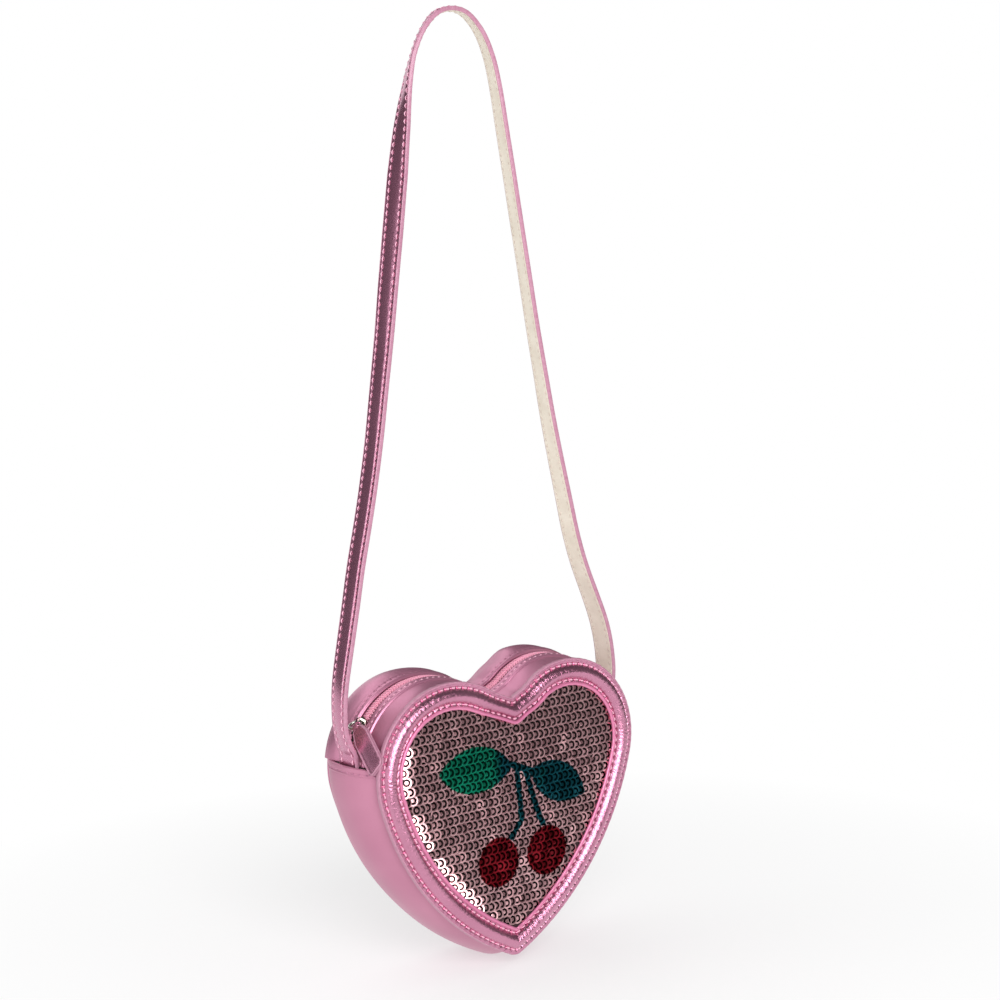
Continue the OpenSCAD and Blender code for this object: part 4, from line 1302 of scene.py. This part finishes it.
@dataclass
class PullTab:
    """The leather pull tab: a strip folded round the ring, two plies thick."""

    turn: float = 70.0
    lean: float = 12.8
    swivel: float = 51.0
    ply: float = 0.8
    length: float = 25.0
    width: float = 10.0
    neck_l: float = 6.0
    neck: float = 2.7
    ring_r: float = 2.8
    slider_deg: float = 146.0
    ring_back: float = 33.0

    def ways(self) -> tuple[Array, Array, Array, Array]:
        """The tab's upper place, and its ways across, up and out, as its frame turns them.

        The ring's middle leans 33 degrees back from the slider at 146 degrees round the
        left lobe, and the tab hangs from it at its own turn.
        """
        hole_z = LOBE_R - 1.8 + 1.1 + 0.3 + 1.2 + 0.9
        hole_x = 0.9 + 0.6 + 0.3 - 3.6
        a = math.radians(self.slider_deg)
        x = LOBE_R - HALF_W + math.cos(a) * hole_z - math.sin(a) * hole_x
        y = math.sin(a) * hole_z + math.cos(a) * hole_x
        way = math.radians(self.slider_deg + 90 - self.ring_back)
        reach = self.ring_r * (1 + math.cos(math.radians(self.turn)))
        at = np.array([x + reach * math.cos(way), -self.ring_r * math.sin(math.radians(self.turn)),
                       y + reach * math.sin(way) - DROP])
        frame = Matrix.Rotation(math.radians(self.lean), 3, "Y") \
            @ Matrix.Rotation(math.radians(-self.swivel), 3, "X") \
            @ Matrix.Rotation(math.radians(90), 3, "Z") @ Matrix.Rotation(math.radians(90), 3, "X")
        m = np.array(frame)
        return at, m[:, 0], m[:, 1], m[:, 2]

    def half(self, v: Array) -> Array:
        """Half the strip's width at heights v below the ring, with a slightly pointed foot."""
        return np.interp(v, [-self.length, -self.length + 1.2, -self.neck_l, -1.0],
                         [self.width / 2 - 1.3, self.width / 2, self.width / 2, self.neck])

    def build(self) -> list[bpy.types.Object]:
        """Two plies, a painted edge round each, and the fold round the ring."""
        at, across, up, out = self.ways()

        def put(u: Array, v: Array, h: Array) -> Array:
            u, v, h = np.broadcast_arrays(u, v, h)
            return (at + u[..., None] * across + v[..., None] * up + h[..., None] * out) * MM

        pieces = []
        v = np.concatenate([np.linspace(-self.length, -self.length + 1.2, 5),
                            np.linspace(-self.length + 1.6, -self.neck_l, 16),
                            np.linspace(-self.neck_l + 0.4, -1.2, 14)])
        t = np.radians(np.linspace(0, 360, 32, endpoint=False))
        c, sn = np.cos(t), np.sin(t)
        for key, middle in (("outer", -0.16 - self.ply / 2), ("inner", 0.16 + self.ply / 2)):
            u = (self.half(v)[:, None] - 0.3) * np.sign(c) * np.abs(c) ** 0.3
            pressed = 0.12 * bell(np.abs(u) - self.half(v)[:, None] + 1.6, 0.4)
            h = middle + (self.ply / 2 - pressed) * np.sign(sn) * np.abs(sn) ** 0.5
            ply = dress(loft(f"tab_{key}_ply", put(u, v[:, None], h)), FoilLeather(rough=0.26, metal=0.86))
            rim_u = np.concatenate([self.half(v), [0], -self.half(v[::-1]), [0]])
            rim_v = np.concatenate([v, [-1.0], v[::-1], [-self.length]])
            edge = dress(tube(f"tab_{key}_edge", put(rim_u, rim_v, np.array(middle)), 0.46 * MM, 8, True),
                         EdgePaint())
            pieces += [ply, edge]
        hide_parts("pull_tab")
        a = np.linspace(0, TAU, 28, endpoint=False)[:, None]
        b = np.linspace(0, TAU, 12, endpoint=False)[None, :]
        r = 1.3 + 0.36 * np.sin(b)
        wide = self.neck * 0.8 * np.sign(np.cos(b)) * np.abs(np.cos(b)) ** 0.4
        fold = loft("tab_fold", put(wide, r * np.cos(a) + 0.1, r * np.sin(a)), True)
        pieces.append(dress(fold, FoilLeather(rough=0.3)))
        return pieces


# ---------------------------------------------------------------- stage

@dataclass
class Stage:
    """Camera, lamps, pale floor, and dark cards that only reflections see."""

    azimuth: float = -38.47
    elevation: float = 8.73
    roll: float = -1.96
    distance: float = 1250.0
    off: tuple = (9.224, 116.485)
    lens: float = 96.07
    floor: float = -0.4398

    def turned(self, at: Array, to: Array) -> Array:
        """Ways right, up and back of something at one place that looks at another."""
        back = unit(np.array(at, float) - np.array(to, float))
        side = unit(np.cross([0, 0, 1.0], back))
        return np.stack([side, np.cross(back, side), back], 1)

    def camera(self) -> None:
        """Stands the camera where the photograph was taken from."""
        az, el, ro = (math.radians(v) for v in (self.azimuth, self.elevation, self.roll))
        back = np.array([math.sin(az) * math.cos(el), -math.cos(az) * math.cos(el), math.sin(el)])
        right, up, _ = self.turned(back, np.zeros(3)).T
        r = right * math.cos(ro) + up * math.sin(ro)
        u = -right * math.sin(ro) + up * math.cos(ro)
        place = back * self.distance + r * self.off[0] + u * self.off[1] - np.array([0, 0, DROP])
        data = bpy.data.cameras.new("camera")
        data.lens, data.sensor_width = self.lens, 36.0
        data.clip_start, data.clip_end = 0.05, 50
        bpy.context.scene.camera = self.stand("camera", data, place * MM, np.stack([r, u, back], 1))

    def stand(self, name: str, data: bpy.types.ID, at: Array, ways: Array) -> bpy.types.Object:
        """Links an object for a camera or lamp at a place, turned by its three ways."""
        obj = bpy.data.objects.new(name, data)
        obj.matrix_world = Matrix([[*row, p] for row, p in zip(ways.tolist(), np.array(at).tolist())]
                                  + [[0, 0, 0, 1]])
        bpy.context.scene.collection.objects.link(obj)
        return obj

    def lamp(self, name: str, at: tuple, to: tuple, size: tuple, power: float) -> None:
        """A soft rectangular lamp at one place that looks at another."""
        data = bpy.data.lights.new(name, "AREA")
        data.shape, data.size, data.size_y = "RECTANGLE", *size
        data.energy = power
        self.stand(name, data, at, self.turned(at, to))

    def card(self, name: str, at: tuple, to: tuple, size: tuple, tone: float) -> None:
        """A plain grey card that only reflections see."""
        side, up, _ = self.turned(at, to).T
        corners = np.array([np.array(at) + a * size[0] / 2 * side + b * size[1] / 2 * up
                            for a, b in ((-1, -1), (1, -1), (1, 1), (-1, 1))])
        mesh = bpy.data.meshes.new(name)
        mesh.from_pydata(corners.tolist(), [], [[0, 1, 2, 3]])
        card = bpy.data.objects.new(name, mesh)
        bpy.context.scene.collection.objects.link(card)
        tree = Shader(name)
        tree.set(Base_Color=(0.0, 0.0, 0.0), Roughness=1.0, Specular_IOR_Level=0.0,
                 Emission_Color=(tone, tone * 0.96, tone * 0.98), Emission_Strength=1.0)
        mesh.materials.append(tree.material)
        card.visible_camera = card.visible_shadow = card.visible_diffuse = False

    def room(self) -> None:
        """White to the camera and to mirrors, and a plain pale room to everything else."""
        world_data = bpy.data.worlds.new("room")
        bpy.context.scene.world = world_data
        world_data.use_nodes = True
        tree = world_data.node_tree
        back = tree.nodes["Background"]
        back.inputs["Color"].default_value = (1, 1, 1, 1)
        path = tree.nodes.new("ShaderNodeLightPath")
        seen = path.outputs["Is Camera Ray"]
        for key in ("Is Glossy Ray", "Is Transmission Ray"):
            add = tree.nodes.new("ShaderNodeMath")
            add.operation, add.use_clamp = "ADD", True
            tree.links.new(seen, add.inputs[0])
            tree.links.new(path.outputs[key], add.inputs[1])
            seen = add.outputs[0]
        level = tree.nodes.new("ShaderNodeMapRange")
        level.inputs["To Min"].default_value, level.inputs["To Max"].default_value = 0.5, 1.0
        tree.links.new(seen, level.inputs["Value"])
        tree.links.new(level.outputs[0], back.inputs["Strength"])

    def ground(self) -> None:
        """A pale floor that keeps the soft shadow near the bag and is plain white further off."""
        corners = [[-9, -9, self.floor], [9, -9, self.floor], [9, 9, self.floor], [-9, 9, self.floor]]
        mesh = bpy.data.meshes.new("floor")
        mesh.from_pydata(corners, [], [[0, 1, 2, 3]])
        floor = bpy.data.objects.new("floor", mesh)
        bpy.context.scene.collection.objects.link(floor)
        tree = Shader("floor")
        tree.set(Base_Color=(0.95, 0.95, 0.95), Roughness=0.9, Specular_IOR_Level=0.0)
        far = tree.node("ShaderNodeVectorMath", {"operation": "LENGTH"}, {0: tree.place()}, "Value")
        mask = far.ramp(0.462, 0.56, 0.5, 1.0)
        path = tree.nodes.new("ShaderNodeLightPath")
        for key in ("Is Glossy Ray", "Is Transmission Ray"):
            mask = mask + Expr(tree, path.outputs[key])
        white = tree.nodes.new("ShaderNodeEmission")
        mix = tree.nodes.new("ShaderNodeMixShader")
        output = next(n for n in tree.nodes if n.type == "OUTPUT_MATERIAL")
        tree.feed(mix.inputs[0], mask.ramp(0, 1))
        tree.links.new(tree.main.outputs[0], mix.inputs[1])
        tree.links.new(white.outputs[0], mix.inputs[2])
        tree.links.new(mix.outputs[0], output.inputs[0])
        mesh.materials.append(tree.material)

    def build(self) -> None:
        """Everything round the purse."""
        bpy.context.scene.view_settings.view_transform = "Standard"
        self.camera()
        self.room()
        self.ground()
        bag = (0, 0, -0.36)
        self.lamp("key", (-0.66, -1.34, 0.22), (0, 0, -0.26), (0.95, 1.25), 25)
        self.lamp("left", (-0.92, 0.40, -0.19), (0, 0, -0.19), (0.36, 0.46), 1.1)
        self.lamp("top", (-0.3, 0.9, 1.4), bag, (2.4, 1.8), 9)
        self.card("right_card", (0.86, -1.0, 0.46), (0, 0, 0.46), (2.1, 1.78), 0.13)
        self.card("upper_card", (0.35, -0.35, 1.25), (0.05, -0.05, -0.3), (2.6, 2.2), 0.05)
        self.card("left_card", (-0.85, 0.95, 0.43), (0, 0, 0.43), (2.3, 1.72), 0.03)
        self.card("side_card", (0.5, 0.23, 0.06), (0, 0, 0.06), (0.9, 1.0), 0.06)
        self.card("low_card", (-0.15, -0.28, -0.43), (-0.12, -0.22, 5), (0.32, 0.2), 0.06)


def main() -> None:
    """Loads the frame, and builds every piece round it."""
    logging.basicConfig(level=logging.INFO, format="%(message)s")
    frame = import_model()
    Stage().build()
    for part in (FrontFrame(), BackPanel(), BottomGusset(), ZipGusset(), Sequins()):
        for piece in part.build():
            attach(piece, "bag")
    Strap().build()
    for piece in PullTab().build():
        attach(piece, "pull_tab")
    lining = Woven(slot="lining_cloth", light=(0.82, 0.78, 0.70), dark=(0.66, 0.61, 0.53))
    carried_over = {
        "sequin_backing": Woven(slot="backing_cloth", light=(0.06, 0.025, 0.03), dark=(0.035, 0.012, 0.016)),
        "front_board": Board(), "back_board": Board(), "front_lining": lining, "back_lining": lining,
        "gusset_lining": lining, "zip_stops": Nickel(), "slider_body": Nickel(),
        "slider_bridge": Nickel(), "pull_ring": Nickel()}
    for name, finish in carried_over.items():
        dress_node(frame["nodes"][name], finish)


if __name__ == "__main__":
    main()
